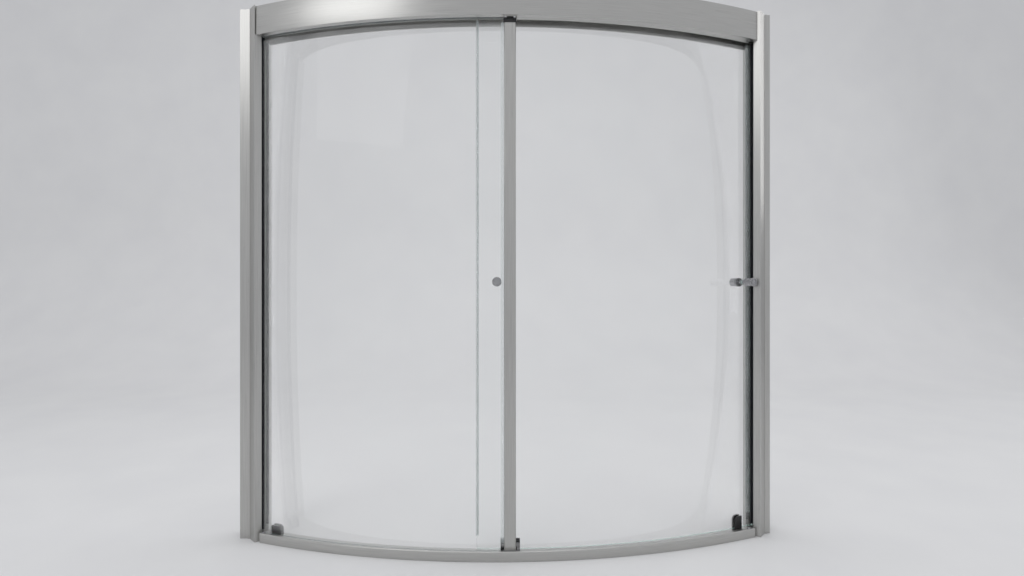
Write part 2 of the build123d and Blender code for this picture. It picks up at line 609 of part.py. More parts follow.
with BuildPart() as post_head_plate:
    with BuildSketch(Plane.XY.offset(POST_TOP_Z)):
        block(POST_LEFT_X - HEAD_PLATE_SIDE, POST_RIGHT_X + HEAD_PLATE_SIDE,
              BOW_R - FRONT_R + HEAD_PLATE_SIDE, BOW_R - POST_REAR + HEAD_CAP_WALL)
        block(POST_LEFT_X - HEAD_PLATE_SIDE, FIXED_EDGE_X + FIT, SLOT_FRONT_Y, SLOT_REAR_Y,
              Mode.SUBTRACT)
        with Locations(*[(x, HEAD_SCREW_Y) for x in HEAD_SCREW_XS]):
            Circle(SCREW_R + SHANK_FIT, mode=Mode.SUBTRACT)
    extrude(amount=HEAD_PLATE_H)
finish(post_head_plate.part, "post_head_plate")

with BuildPart() as post_head_cap:
    with BuildSketch(Plane.XY.offset(POST_TOP_Z - HEAD_CAP_H)):
        block(POST_LEFT_X - HEAD_CAP_WALL, POST_RIGHT_X + HEAD_CAP_WALL,
              BOW_R - POST_FRONT - HEAD_CAP_WALL, BOW_R - POST_REAR + HEAD_CAP_WALL)
        block(POST_LEFT_X, POST_RIGHT_X, BOW_R - POST_FRONT, BOW_R - POST_REAR, Mode.SUBTRACT)
        block(POST_LEFT_X - HEAD_CAP_WALL, POST_LEFT_X, SLOT_FRONT_Y, SLOT_REAR_Y, Mode.SUBTRACT)
    extrude(amount=HEAD_CAP_H)
finish(post_head_cap.part, "post_head_cap")

# Foot bracket: a wedge under the post and two jaws that guide the door's lower edge
JAW_TOP_Z = GUIDE_TOP_Z - GUIDE_PAD_H

with BuildPart() as post_foot_bracket:
    with BuildSketch(section_plane(0).offset(-GUIDE_RIGHT_X)):
        outline([(FOOT_REAR_R, foot_z(FOOT_REAR_R)), (POST_REAR, foot_z(POST_REAR)),
                 (POST_REAR, foot_z(POST_REAR) + FOOT_T),
                 (FOOT_REAR_R, foot_z(FOOT_REAR_R) + FOOT_T)])
        stand_on_sill(JAW_REAR - GUIDE_JAW, JAW_REAR - GUIDE_PAD_T, JAW_TOP_Z)
        stand_on_sill(JAW_FRONT + GUIDE_PAD_T, JAW_FRONT + GUIDE_JAW, JAW_TOP_Z)
    extrude(amount=GUIDE_RIGHT_X - GUIDE_LEFT_X)
    with BuildSketch(section_plane(0).offset(-POST_RIGHT_X)):
        stand_on_sill(JAW_FRONT + GUIDE_PAD_T, POST_FRONT, POST_BOTTOM_Z)
    extrude(amount=POST_RIGHT_X - POST_LEFT_X)
    with BuildSketch(Plane.XY):
        block(GUIDE_LEFT_X, FIXED_EDGE_X + FIT, SLOT_FRONT_Y, SLOT_REAR_Y)
    extrude(amount=GUIDE_TOP_Z, mode=Mode.SUBTRACT)
    for x in FOOT_SCREW_XS:
        rod(slope_plane(x, FOOT_SCREW_R, FOOT_LIFT), SCREW_R + SHANK_FIT, -SCREW_LENGTH,
            Mode.SUBTRACT)
finish(post_foot_bracket.part, "post_foot_bracket")

with BuildPart() as guide_pads:
    with BuildSketch(section_plane(0).offset(-GUIDE_RIGHT_X)):
        block(JAW_FRONT, JAW_FRONT + GUIDE_PAD_T, GUIDE_PAD_BOTTOM_Z, GUIDE_TOP_Z)
        block(JAW_FRONT, JAW_FRONT + GUIDE_JAW, JAW_TOP_Z, GUIDE_TOP_Z)
        block(JAW_REAR - GUIDE_PAD_T, JAW_REAR, GUIDE_PAD_BOTTOM_Z, GUIDE_TOP_Z)
        block(JAW_REAR - GUIDE_JAW, JAW_REAR, JAW_TOP_Z, GUIDE_TOP_Z)
    extrude(amount=GUIDE_RIGHT_X - GUIDE_LEFT_X)
finish(guide_pads.part, "guide_pads")

with BuildPart() as post_screws:
    for x in HEAD_SCREW_XS:
        rod(Plane(origin=(x, HEAD_SCREW_Y, POST_TOP_Z)), SCREW_HEAD_R, -SCREW_HEAD_H)
        rod(Plane(origin=(x, HEAD_SCREW_Y, POST_TOP_Z)), SCREW_R, HEAD_PLATE_H + HEADER_WALL)
    for x in FOOT_SCREW_XS:
        rod(slope_plane(x, FOOT_SCREW_R, FOOT_LIFT), SCREW_HEAD_R, SCREW_HEAD_H)
        rod(slope_plane(x, FOOT_SCREW_R, FOOT_LIFT), SCREW_R, -SCREW_LENGTH)
finish(post_screws.part, "post_screws")

# Sill screws: pan heads on the front of the sill, one at each end
with BuildPart() as sill_screws:
    seats = [slope_plane(x, FRONT_R - SILL_SCREW_FROM_FRONT, SEAT_GAP) for x in SILL_SCREW_XS]
    for seat in seats:
        rod(seat, SILL_SCREW_HEAD_R, SILL_SCREW_HEAD_H)
    fillet(sill_screws.faces().group_by(Axis.Z)[-1].edges(), SILL_SCREW_HEAD_H / 3)
    for seat in seats:
        rod(seat, SCREW_R, -SILL_SCREW_LENGTH)
finish(sill_screws.part, "sill_screws")

# Corner guides: moulded forks on the sill that the door's lower edge slides through
for name, span, top_z in (("left", CORNER_LEFT, CORNER_LEFT_TOP_Z),
                          ("right", CORNER_RIGHT, CORNER_RIGHT_TOP_Z)):
    middle = angle_at((span[0] + span[1]) / 2, DOOR_FRONT)
    length = abs(span[1] - span[0])
    inward = -1 if middle > 0 else 1
    with BuildPart() as corner_guide:
        with BuildSketch(section_plane(middle)):
            block(JAW_REAR - CORNER_JAW, JAW_FRONT + CORNER_JAW, 0, top_z)
            block(JAW_REAR, JAW_FRONT, sill_top(JAW_FRONT) + FOOT_T, top_z, mode=Mode.SUBTRACT)
            outline([(REAR_R, 0), (FRONT_R, 0), (FRONT_R, foot_z(FRONT_R)), (REAR_R, foot_z(REAR_R))],
                    mode=Mode.SUBTRACT)
        extrude(amount=length / 2, both=True)
        with BuildSketch(facing_plane(middle, FOOT_REAR_R, top_z)):
            corner = (inward * length / 2, 0)
            with Locations((corner[0] - inward * CORNER_ARCH_R / 2, -CORNER_ARCH_R / 2)):
                Rectangle(CORNER_ARCH_R, CORNER_ARCH_R)
            with Locations((corner[0] - inward * CORNER_ARCH_R, -CORNER_ARCH_R)):
                Circle(CORNER_ARCH_R, mode=Mode.SUBTRACT)
        extrude(amount=FRONT_R - FOOT_REAR_R, mode=Mode.SUBTRACT)
    finish(corner_guide.part, "corner_guide_" + name)

# Door pane, with holes for the hanger bolts and the knob studs
door_start = angle_at(DOOR_LEFT_X, DOOR_FRONT)
door_end = angle_at(DOOR_RIGHT_X, DOOR_FRONT)
clamp_step = degrees(CLAMP_PITCH / 2 / DOOR_FRONT)
CLAMP_ANGLES = [angle + turn for angle in HANGER_ANGLES for turn in (-clamp_step, clamp_step)]
KNOB_ANGLES = [angle_at(TRAILING_KNOB_X, DOOR_FRONT), angle_at(LEADING_KNOB_X, DOOR_FRONT)]
BUSH_R = CLAMP_R + SHANK_FIT + BUSH_WALL
STUD_BUSH_R = STUD_R + BUSH_WALL

with BuildPart() as door_glass:
    with BuildSketch(section_plane(door_start)):
        block(DOOR_REAR, DOOR_FRONT, DOOR_BOTTOM_Z, DOOR_TOP_Z)
    sweep_bow(door_start, door_end)
    for angle in CLAMP_ANGLES:
        rod(facing_plane(angle, DOOR_REAR - HANGER_PAD, AXLE_Z), BUSH_R + SHANK_FIT,
            GLASS + 2 * HANGER_PAD, Mode.SUBTRACT)
    for angle in KNOB_ANGLES:
        rod(facing_plane(angle, DOOR_REAR - HANGER_PAD, KNOB_Z), STUD_BUSH_R,
            GLASS + 2 * HANGER_PAD, Mode.SUBTRACT)
finish(door_glass.part, "door_glass")

# Hangers: curved plates behind the glass that carry two wheels each
for index, angle in enumerate(HANGER_ANGLES):
    name = ("left", "right")[index]
    half = degrees(HANGER_LENGTH / 2 / PLATE_FRONT)
    middle_z = (HANGER_BOTTOM_Z + HANGER_TOP_Z) / 2
    for piece, rear, front in (("hanger_plate_", PLATE_REAR, PLATE_FRONT),
                               ("hanger_pad_", PLATE_FRONT, DOOR_REAR - SEAL_GAP)):
        with BuildPart() as hanger:
            with BuildSketch(section_plane(angle - half - 1)):
                block(rear, front, LEDGE_Z, ROOF_Z)
            sweep_bow(angle - half - 1, angle + half + 1)
            with BuildSketch(facing_plane(angle, PLATE_REAR - HANGER_T, middle_z)):
                RectangleRounded(HANGER_LENGTH, HANGER_TOP_Z - HANGER_BOTTOM_Z, HANGER_CORNER)
            extrude(amount=3 * HANGER_T, mode=Mode.INTERSECT)
            for turn in (-clamp_step, clamp_step):
                rod(facing_plane(angle + turn, rear - HANGER_T, AXLE_Z), CLAMP_R + SHANK_FIT,
                    3 * HANGER_T, Mode.SUBTRACT)
            for shift in (-1, 1):
                turn = shift * degrees(WHEEL_PITCH / 2 / BEAD_R)
                rod(facing_plane(angle + turn, rear - HANGER_T, AXLE_Z), AXLE_R + AXLE_FIT,
                    3 * HANGER_T, Mode.SUBTRACT)
        finish(hanger.part, piece + name)

wheel_step = degrees(WHEEL_PITCH / 2 / BEAD_R)
WHEEL_ANGLES = [angle + turn for angle in HANGER_ANGLES for turn in (-wheel_step, wheel_step)]
AXLE_HEAD_FRONT = BEAD_R - WHEEL_HALF - AXLE_SIDE_GAP

with BuildPart() as wheel_axles:
    for angle in WHEEL_ANGLES:
        rod(facing_plane(angle, AXLE_HEAD_FRONT, AXLE_Z), AXLE_HEAD_R, -AXLE_HEAD_H)
        rod(facing_plane(angle, AXLE_HEAD_FRONT, AXLE_Z), AXLE_R, PLATE_FRONT - AXLE_HEAD_FRONT)
        shoulder = BEAD_R + WHEEL_HALF + AXLE_SIDE_GAP
        rod(facing_plane(angle, shoulder, AXLE_Z), AXLE_SHOULDER_R, PLATE_REAR - SEAT_GAP - shoulder)
finish(wheel_axles.part, "wheel_axles")

# Wheels: grooved rollers that ride the bead, each on its own bearing
for index, angle in enumerate(WHEEL_ANGLES):
    hub = turning_plane(angle, BEAD_R, AXLE_Z)
    spin = Axis(hub.origin, hub.x_dir)
    with BuildPart() as wheel:
        with BuildSketch(hub):
            block(-WHEEL_HALF, WHEEL_HALF, BEARING_R, WHEEL_R)
            with Locations((0, TREAD_R + GROOVE_R)):
                Circle(GROOVE_R, mode=Mode.SUBTRACT)
        revolve(axis=spin)
    finish(wheel.part, f"wheel_{index + 1}")
    with BuildPart() as wheel_bearing:
        with BuildSketch(hub):
            block(-WHEEL_HALF, WHEEL_HALF, AXLE_R + AXLE_FIT, BEARING_R)
            for end in (-1, 1):
                block(end * (WHEEL_HALF - BEARING_RECESS), end * WHEEL_HALF,
                      AXLE_R + BEARING_RACE, BEARING_R - BEARING_RACE, Mode.SUBTRACT)
        revolve(axis=spin)
    finish(wheel_bearing.part, f"wheel_bearing_{index + 1}")

with BuildPart() as clamp_bolts:
    for angle in CLAMP_ANGLES:
        rod(facing_plane(angle, PLATE_REAR - SEAT_GAP, AXLE_Z), CLAMP_HEAD_R, -CLAMP_HEAD_H)
        rod(facing_plane(angle, PLATE_REAR - SEAT_GAP, AXLE_Z), CLAMP_R,
            DOOR_FRONT + HANGER_PAD + CLAMP_NUT_H + CLAMP_NUT_GAP - PLATE_REAR)
finish(clamp_bolts.part, "clamp_bolts")

with BuildPart() as glass_bushes:
    for angle in CLAMP_ANGLES:
        rod(facing_plane(angle, DOOR_REAR, AXLE_Z), BUSH_R, GLASS)
        rod(facing_plane(angle, DOOR_FRONT, AXLE_Z), BUSH_FLANGE_R, HANGER_PAD)
        rod(facing_plane(angle, DOOR_REAR, AXLE_Z), CLAMP_R + SHANK_FIT, GLASS + HANGER_PAD,
            Mode.SUBTRACT)
finish(glass_bushes.part, "glass_bushes")

with BuildPart() as clamp_nuts:
    for angle in CLAMP_ANGLES:
        with BuildSketch(facing_plane(angle, DOOR_FRONT + HANGER_PAD, AXLE_Z)):
            RegularPolygon(CLAMP_NUT_R, 6)
            Circle(CLAMP_R + SHANK_FIT, mode=Mode.SUBTRACT)
        extrude(amount=CLAMP_NUT_H)
finish(clamp_nuts.part, "clamp_nuts")

# Edge seals of the door, kept clear of the guides below
SEAL_REAR = DOOR_REAR - EDGE_SEAL_T
SEAL_FRONT = DOOR_FRONT + EDGE_SEAL_T

with BuildPart() as leading_seal:
    seal_end = angle_at(DOOR_RIGHT_X + EDGE_SEAL, DOOR_FRONT)
    fin_start = angle_at(DOOR_RIGHT_X - EDGE_SEAL_FIN, DOOR_FRONT)
    lip_start = angle_at(DOOR_RIGHT_X - EDGE_SEAL_LIP, DOOR_FRONT)
    with BuildSketch(section_plane(fin_start)):
        block(SEAL_REAR, DOOR_REAR - SEAL_GAP, EDGE_SEAL_BOTTOM_Z, HEADER_Z - FIT)
    sweep_bow(fin_start, door_end)
    with BuildSketch(section_plane(door_end)):
        block(SEAL_REAR, SEAL_FRONT, EDGE_SEAL_BOTTOM_Z, HEADER_Z - FIT)
    sweep_bow(door_end, seal_end)
    with BuildSketch(section_plane(lip_start)):
        block(DOOR_FRONT + SEAL_GAP, SEAL_FRONT, EDGE_SEAL_BOTTOM_Z, HEADER_Z - FIT)
    sweep_bow(lip_start, door_end)
finish(leading_seal.part, "leading_seal")

with BuildPart() as trailing_seal:
    seal_start = angle_at(DOOR_LEFT_X - TRAILING_SEAL, DOOR_FRONT)
    lip_end = angle_at(DOOR_LEFT_X + TRAILING_SEAL_LIP, DOOR_FRONT)
    with BuildSketch(section_plane(seal_start)):
        block(SEAL_REAR, SEAL_FRONT, EDGE_SEAL_BOTTOM_Z, HEADER_Z - FIT)
    sweep_bow(seal_start, door_start)
    for inner, outer in ((SEAL_REAR, DOOR_REAR - SEAL_GAP), (DOOR_FRONT + SEAL_GAP, SEAL_FRONT)):
        with BuildSketch(section_plane(door_start)):
            block(inner, outer, EDGE_SEAL_BOTTOM_Z, HEADER_Z - FIT)
        sweep_bow(door_start, lip_end)
finish(trailing_seal.part, "trailing_seal")


# Knobs: turned heads on slim necks, joined through the glass by a stud
def turned_knob(plane, name):
    """Pull knob whose neck starts on a plane and points along its normal."""
    with BuildPart() as knob:
        rod(plane, KNOB_NECK_R, KNOB_NECK)
        head_end = Plane(origin=plane.origin + plane.z_dir * (KNOB_NECK + KNOB_HEAD), z_dir=plane.z_dir)
        rod(head_end, KNOB_R, -KNOB_HEAD)
        fillet(knob.faces().sort_by(Axis(plane.origin, plane.z_dir))[-1].edges(), KNOB_EDGE)
        with BuildSketch(head_end):
            Circle(KNOB_FACE_R + KNOB_RING)
            Circle(KNOB_FACE_R, mode=Mode.SUBTRACT)
        extrude(amount=-KNOB_FACE_DEPTH, mode=Mode.SUBTRACT)
        rod(plane, STUD_R, KNOB_NECK, Mode.SUBTRACT)
    finish(knob.part, name)


trailing, leading = KNOB_ANGLES
behind = DOOR_REAR - SEAT_GAP - WASHER_H
before = DOOR_FRONT + WASHER_H
turned_knob(facing_plane(leading, before, KNOB_Z), "leading_knob_outer")
turned_knob(-facing_plane(leading, behind, KNOB_Z), "leading_knob_inner")
turned_knob(-facing_plane(trailing, behind, KNOB_Z), "trailing_knob_inner")

with BuildPart() as trailing_button:
    face = facing_plane(trailing, before + BUTTON_H, KNOB_Z)
    rod(face, KNOB_R, -BUTTON_H)
    fillet(trailing_button.faces().sort_by(Axis(face.origin, face.z_dir))[-1].edges(), KNOB_EDGE)
    with BuildSketch(face):
        Circle(KNOB_FACE_R + KNOB_RING)
        Circle(KNOB_FACE_R, mode=Mode.SUBTRACT)
    extrude(amount=-KNOB_FACE_DEPTH, mode=Mode.SUBTRACT)
    rod(facing_plane(trailing, before, KNOB_Z), STUD_R, BUTTON_H / 2, Mode.SUBTRACT)
finish(trailing_button.part, "trailing_button")

with BuildPart() as knob_studs:
    rod(facing_plane(leading, behind - KNOB_NECK, KNOB_Z), STUD_R, before - behind + 2 * KNOB_NECK)
    rod(facing_plane(trailing, behind - KNOB_NECK, KNOB_Z), STUD_R,
        before - behind + KNOB_NECK + BUTTON_H / 2)
finish(knob_studs.part, "knob_studs")

with BuildPart() as knob_washers:
    for angle in KNOB_ANGLES:
        for seat in (facing_plane(angle, before, KNOB_Z), -facing_plane(angle, behind, KNOB_Z)):
            rod(seat, KNOB_WASHER_R, -WASHER_H)
            rod(seat, STUD_BUSH_R - SHANK_FIT, SHANK_FIT - WASHER_H - GLASS / 2)
        rod(facing_plane(angle, behind, KNOB_Z), STUD_R, before - behind, Mode.SUBTRACT)
finish(knob_washers.part, "knob_washers")

ratio = BEAD_R / TREAD_R
print(f"bow axis at y {BOW_R:.3f}, header end at y {END_Y:.3f}, axle height {AXLE_Z:.3f}")
print(f"wheel turns {ratio:.4f} for each turn of the door about the bow axis")
for angle in WHEEL_ANGLES:
    print(f"wheel at {angle:.4f} degrees, {bow_point(angle, BEAD_R)}")
print(f"wall holes at y {WALL_HOLE_Y:.3f}, z {MID_Z:.1f}")
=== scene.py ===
# %% [markdown]
# # Dressing a bow-front shower enclosure
#
# The solids of the enclosure come from a CAD model. This script loads them, gives each one the
# finish of the real thing, and builds again the few shapes that a plain solid can't show: the
# rounded edges of the long extrusions, the cross recesses of the screws and the fibres of the brush
# seal. Blender counts in metres. Header, sill and glass bend about one upright line, the bow axis:
# BOW_Y is its place, and BOW_RADIUS is how far the front of the header stands from it.

# %% Load the frame
import bmesh
import bpy
import json
from math import asin, cos, pi, radians, sin
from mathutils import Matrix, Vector

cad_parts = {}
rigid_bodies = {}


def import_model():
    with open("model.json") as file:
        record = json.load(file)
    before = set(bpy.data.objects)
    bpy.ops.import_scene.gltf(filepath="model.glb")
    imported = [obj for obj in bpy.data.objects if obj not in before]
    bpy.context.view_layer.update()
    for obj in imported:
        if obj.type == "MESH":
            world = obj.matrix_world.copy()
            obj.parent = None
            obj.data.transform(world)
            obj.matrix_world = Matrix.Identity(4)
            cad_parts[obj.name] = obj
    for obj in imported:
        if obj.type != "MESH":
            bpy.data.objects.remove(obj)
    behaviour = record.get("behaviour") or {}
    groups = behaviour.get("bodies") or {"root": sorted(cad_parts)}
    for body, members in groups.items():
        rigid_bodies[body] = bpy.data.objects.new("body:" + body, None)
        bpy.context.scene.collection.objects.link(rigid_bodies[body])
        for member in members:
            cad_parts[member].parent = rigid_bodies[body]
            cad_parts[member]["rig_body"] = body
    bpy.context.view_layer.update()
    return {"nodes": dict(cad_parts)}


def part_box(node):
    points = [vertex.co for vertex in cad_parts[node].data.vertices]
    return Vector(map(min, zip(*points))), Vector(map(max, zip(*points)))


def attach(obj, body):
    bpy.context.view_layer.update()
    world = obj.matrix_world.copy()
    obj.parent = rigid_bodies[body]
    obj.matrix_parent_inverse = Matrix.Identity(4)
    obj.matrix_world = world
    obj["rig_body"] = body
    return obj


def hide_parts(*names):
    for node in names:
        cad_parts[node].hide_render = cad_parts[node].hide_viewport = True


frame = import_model()
scene = bpy.context.scene
BOW_Y = 1.966
BOW_RADIUS = 2.0

# %% [markdown]
# ## Patterns behind the finishes
#
# Each finish is a little uneven in its colour, its roughness and its bump. An image wrapped round
# the piece could show that, but noise needs no unwrapping and never repeats. Object coordinates are
# in metres here, so the scale of a noise says how many marks fit in a metre. Brushing is noise that
# is squeezed across the strokes and drawn out along them. On the straight pieces the strokes run up
# and down, so the Mapping node alone does it. On the bent pieces they follow the bow, so x and y are
# turned into a distance from the bow axis and a length along the arc.


# %% Math in a node tree
def math_node(tree, operation, first, second=None):
    """Math node whose terms are sockets or numbers."""
    node = tree.nodes.new("ShaderNodeMath")
    node.operation = operation
    for socket, term in zip(node.inputs, (first, second)):
        if isinstance(term, (int, float)):
            socket.default_value = term
        elif term is not None:
            tree.links.new(term, socket)
    return node.outputs[0]


# %% Coordinates that a pattern follows
def scaled(tree, vector, marks):
    """Vector times the number of marks that a metre holds in each direction."""
    mapping = tree.nodes.new("ShaderNodeMapping")
    mapping.inputs["Scale"].default_value = marks
    tree.links.new(vector, mapping.inputs["Vector"])
    return mapping.outputs["Vector"]


def straight_coordinates(tree, marks):
    """Object coordinates, scaled."""
    source = tree.nodes.new("ShaderNodeTexCoord")
    return scaled(tree, source.outputs["Object"], marks)


def bow_coordinates(tree, marks):
    """Distance from the bow axis, length along the arc and height, scaled."""
    link = tree.links.new
    source = tree.nodes.new("ShaderNodeTexCoord")
    centred = tree.nodes.new("ShaderNodeMapping")
    centred.inputs["Location"].default_value = (0, -BOW_Y, 0)
    split = tree.nodes.new("ShaderNodeSeparateXYZ")
    flat = tree.nodes.new("ShaderNodeCombineXYZ")
    distance = tree.nodes.new("ShaderNodeVectorMath")
    distance.operation = "LENGTH"
    link(source.outputs["Object"], centred.inputs["Vector"])
    link(centred.outputs["Vector"], split.inputs[0])
    link(split.outputs["X"], flat.inputs["X"])
    link(split.outputs["Y"], flat.inputs["Y"])
    link(flat.outputs[0], distance.inputs[0])
    forward = math_node(tree, "MULTIPLY", split.outputs["Y"], -1)
    angle = math_node(tree, "ARCTAN2", split.outputs["X"], forward)
    joined = tree.nodes.new("ShaderNodeCombineXYZ")
    link(distance.outputs["Value"], joined.inputs["X"])
    link(math_node(tree, "MULTIPLY", angle, BOW_RADIUS), joined.inputs["Y"])
    link(split.outputs["Z"], joined.inputs["Z"])
    return scaled(tree, joined.outputs[0], marks)


# %% Noise that drives a shader
NOISE_ROUGHNESS = 0.55
COLOUR_STOPS = (0.3, 0.7)
NOISE_LOW, NOISE_HIGH = 0.25, 0.75
BUMP_STRENGTH = 0.6


def noise(tree, coordinates, detail):
    """Noise of one mark to a unit of the coordinates that are passed in."""
    texture = tree.nodes.new("ShaderNodeTexNoise")
    texture.inputs["Scale"].default_value = 1.0
    texture.inputs["Detail"].default_value = detail
    texture.inputs["Roughness"].default_value = NOISE_ROUGHNESS
    tree.links.new(coordinates, texture.inputs["Vector"])
    return texture.outputs["Fac"]


def shade(tree, shader, pattern, dark, light, smooth, rough, height):
    """Let a pattern drive colour from dark to light, roughness from smooth to rough, and bump."""
    ramp = tree.nodes.new("ShaderNodeValToRGB")
    for element, stop, colour in zip(ramp.color_ramp.elements, COLOUR_STOPS, (dark, light)):
        element.position = stop
        element.color = (*colour, 1)
    spread = tree.nodes.new("ShaderNodeMapRange")
    spread.inputs["From Min"].default_value = NOISE_LOW
    spread.inputs["From Max"].default_value = NOISE_HIGH
    spread.inputs["To Min"].default_value = smooth
    spread.inputs["To Max"].default_value = rough
    tree.links.new(pattern, ramp.inputs["Fac"])
    tree.links.new(pattern, spread.inputs["Value"])
    tree.links.new(ramp.outputs["Color"], shader.inputs["Base Color"])
    tree.links.new(spread.outputs["Result"], shader.inputs["Roughness"])
    if height:
        bump = tree.nodes.new("ShaderNodeBump")
        bump.inputs["Strength"].default_value = BUMP_STRENGTH
        bump.inputs["Distance"].default_value = height
        tree.links.new(pattern, bump.inputs["Height"])
        tree.links.new(bump.outputs["Normal"], shader.inputs["Normal"])


# %% One finish
def make_finish(name, marks, detail, dark, light, smooth, rough, height=0.0,
                coordinates=straight_coordinates, **settings):
    """Material of one Principled shader; settings are plain numbers for its own sockets."""
    material = bpy.data.materials.new(name)
    material.use_nodes = True
    tree = material.node_tree
    shader = tree.nodes["Principled BSDF"]
    for socket, value in settings.items():
        shader.inputs[socket.replace("_", " ")].default_value = value
    pattern = noise(tree, coordinates(tree, marks), detail)
    shade(tree, shader, pattern, dark, light, smooth, rough, height)
    return material


# %% [markdown]
# ## The finishes
#
# Brushed nickel is a warm grey metal. Its strokes blur a reflection across the brushing and keep it
# sharper along it, which the anisotropy does: the bent rails are brushed lengthways, so their
# highlights stand upright, and the jambs the other way. The glass is clear with a sea-green cut
# edge, so a pane has one material for its faces and one for its edges. Part of its clearness is
# alpha, so that the panes don't throw a dark shadow. Rubber and mouldings are dark with a soft
# grain, and the knobs are polished metal with only the faintest cloudiness.

# %% Brushed metals
BRUSHED = {"detail": 4.0, "dark": (0.45, 0.447, 0.435), "light": (0.55, 0.547, 0.53),
           "smooth": 0.26, "rough": 0.40, "height": 0.00003, "Metallic": 1.0, "Anisotropic": 0.55}
bow_nickel = make_finish("brushed_nickel_bow", (900, 9, 900), coordinates=bow_coordinates,
                         Anisotropic_Rotation=0.25, **BRUSHED)
upright_nickel = make_finish("brushed_nickel_upright", (900, 900, 9), **BRUSHED)

# %% Polished and plated metals
polished = make_finish("polished_chrome", (160, 160, 160), detail=2.0,
                       dark=(0.30, 0.30, 0.31), light=(0.42, 0.42, 0.43),
                       smooth=0.05, rough=0.10, Metallic=1.0)
zinc = make_finish("zinc_plated_steel", (700, 700, 700), detail=3.0,
                   dark=(0.42, 0.43, 0.45), light=(0.60, 0.60, 0.59),
                   smooth=0.25, rough=0.45, height=0.00002, Metallic=1.0)
print("metals made")

# %% Glass and clear vinyl
clear_glass = make_finish("clear_glass", (6, 6, 3), detail=1.0,
                          dark=(0.955, 0.985, 0.975), light=(0.985, 0.995, 0.99),
                          smooth=0.0, rough=0.012, Transmission_Weight=1.0, IOR=1.5, Alpha=0.2)
cut_edge = make_finish("polished_glass_edge", (300, 300, 40), detail=2.0,
                       dark=(0.36, 0.60, 0.52), light=(0.60, 0.82, 0.75),
                       smooth=0.12, rough=0.26, height=0.00002,
                       Transmission_Weight=0.45, IOR=1.5, Alpha=0.9)
vinyl = make_finish("clear_vinyl", (400, 400, 3), detail=2.0,
                    dark=(0.70, 0.76, 0.76), light=(0.86, 0.90, 0.90),
                    smooth=0.14, rough=0.30, Transmission_Weight=0.3, IOR=1.45, Alpha=0.35)

# %% Rubber, mouldings and fibre
rubber = make_finish("black_rubber", (600, 600, 60), detail=3.0,
                     dark=(0.006, 0.007, 0.009), light=(0.020, 0.022, 0.026),
                     smooth=0.42, rough=0.62, height=0.00004, Specular_IOR_Level=0.35)
black_moulding = make_finish("black_moulded_plastic", (1400, 1400, 1400), detail=2.0,
                             dark=(0.010, 0.010, 0.011), light=(0.024, 0.024, 0.026),
                             smooth=0.28, rough=0.44, height=0.00003)
grey_rubber = make_finish("grey_setting_rubber", (500, 500, 500), detail=3.0,
                          dark=(0.05, 0.05, 0.052), light=(0.09, 0.09, 0.092),
                          smooth=0.5, rough=0.7, height=0.00004)
nylon = make_finish("white_nylon", (800, 800, 800), detail=3.0,
                    dark=(0.70, 0.69, 0.66), light=(0.82, 0.81, 0.78),
                    smooth=0.32, rough=0.46, height=0.00002, Subsurface_Weight=0.15)
pile_fibre = make_finish("grey_pile_fibre", (1500, 1500, 300), detail=2.0,
                         dark=(0.16, 0.16, 0.165), light=(0.34, 0.34, 0.345),
                         smooth=0.75, rough=0.95, Sheen_Weight=0.4)
print("glass, rubber and mouldings made")

# %% [markdown]
# ## Softening a solid's edges
#
# A solid from CAD has knife edges, and no real extrusion or moulding has: a radius of a few tenths
# of a millimetre catches the light and tells the eye what it is made of. The CAD mesh itself is left
# alone, and a copy is softened. It is welded first, because it arrives as loose triangles, then flat
# areas become whole faces, and where a piece has a radius the Bevel modifier rounds its creases.
# Curved faces are shaded smooth, and only real creases stay sharp.

# %% Shading with creases
CREASE = 24
BEVEL_FROM = 40
SAME_FLAT = 0.05
SAME_POINT = 0.000002


def crease(mesh, limit=CREASE):
    """Shade a mesh smooth, with a sharp edge wherever two faces meet at more than the limit."""
    work = bmesh.new()
    work.from_mesh(mesh)
    for face in work.faces:
        face.smooth = True
    for edge in work.edges:
        if len(edge.link_faces) == 2:
            edge.smooth = edge.calc_face_angle(pi) < radians(limit)
    work.to_mesh(mesh)
    work.free()


# %% Softened copies
def place(piece, node):
    """Let a piece ride where its node rides, and stand for it."""
    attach(piece, frame["nodes"][node]["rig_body"])
    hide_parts(node)


def welded(node, name):
    """Object with a welded copy of a node's mesh, its flat areas made whole."""
    mesh = frame["nodes"][node].data.copy()
    mesh.name = name
    work = bmesh.new()
    work.from_mesh(mesh)
    bmesh.ops.remove_doubles(work, verts=work.verts, dist=SAME_POINT)
    bmesh.ops.dissolve_limit(work, angle_limit=radians(SAME_FLAT), verts=work.verts,
                             edges=work.edges)
    work.to_mesh(mesh)
    work.free()
    piece = bpy.data.objects.new(name, mesh)
    scene.collection.objects.link(piece)
    return piece


def dress(node, material, edge=0.0):
    """Stand a softened copy in for a node, in one finish."""
    piece = welded(node, node + "_finished")
    crease(piece.data)
    if edge:
        bevel = piece.modifiers.new("edges", "BEVEL")
        bevel.width = edge
        bevel.segments = 2
        bevel.limit_method = "ANGLE"
        bevel.angle_limit = radians(BEVEL_FROM)
        bevel.use_clamp_overlap = True
    piece.data.materials.clear()
    piece.data.materials.append(material)
    place(piece, node)
    return piece


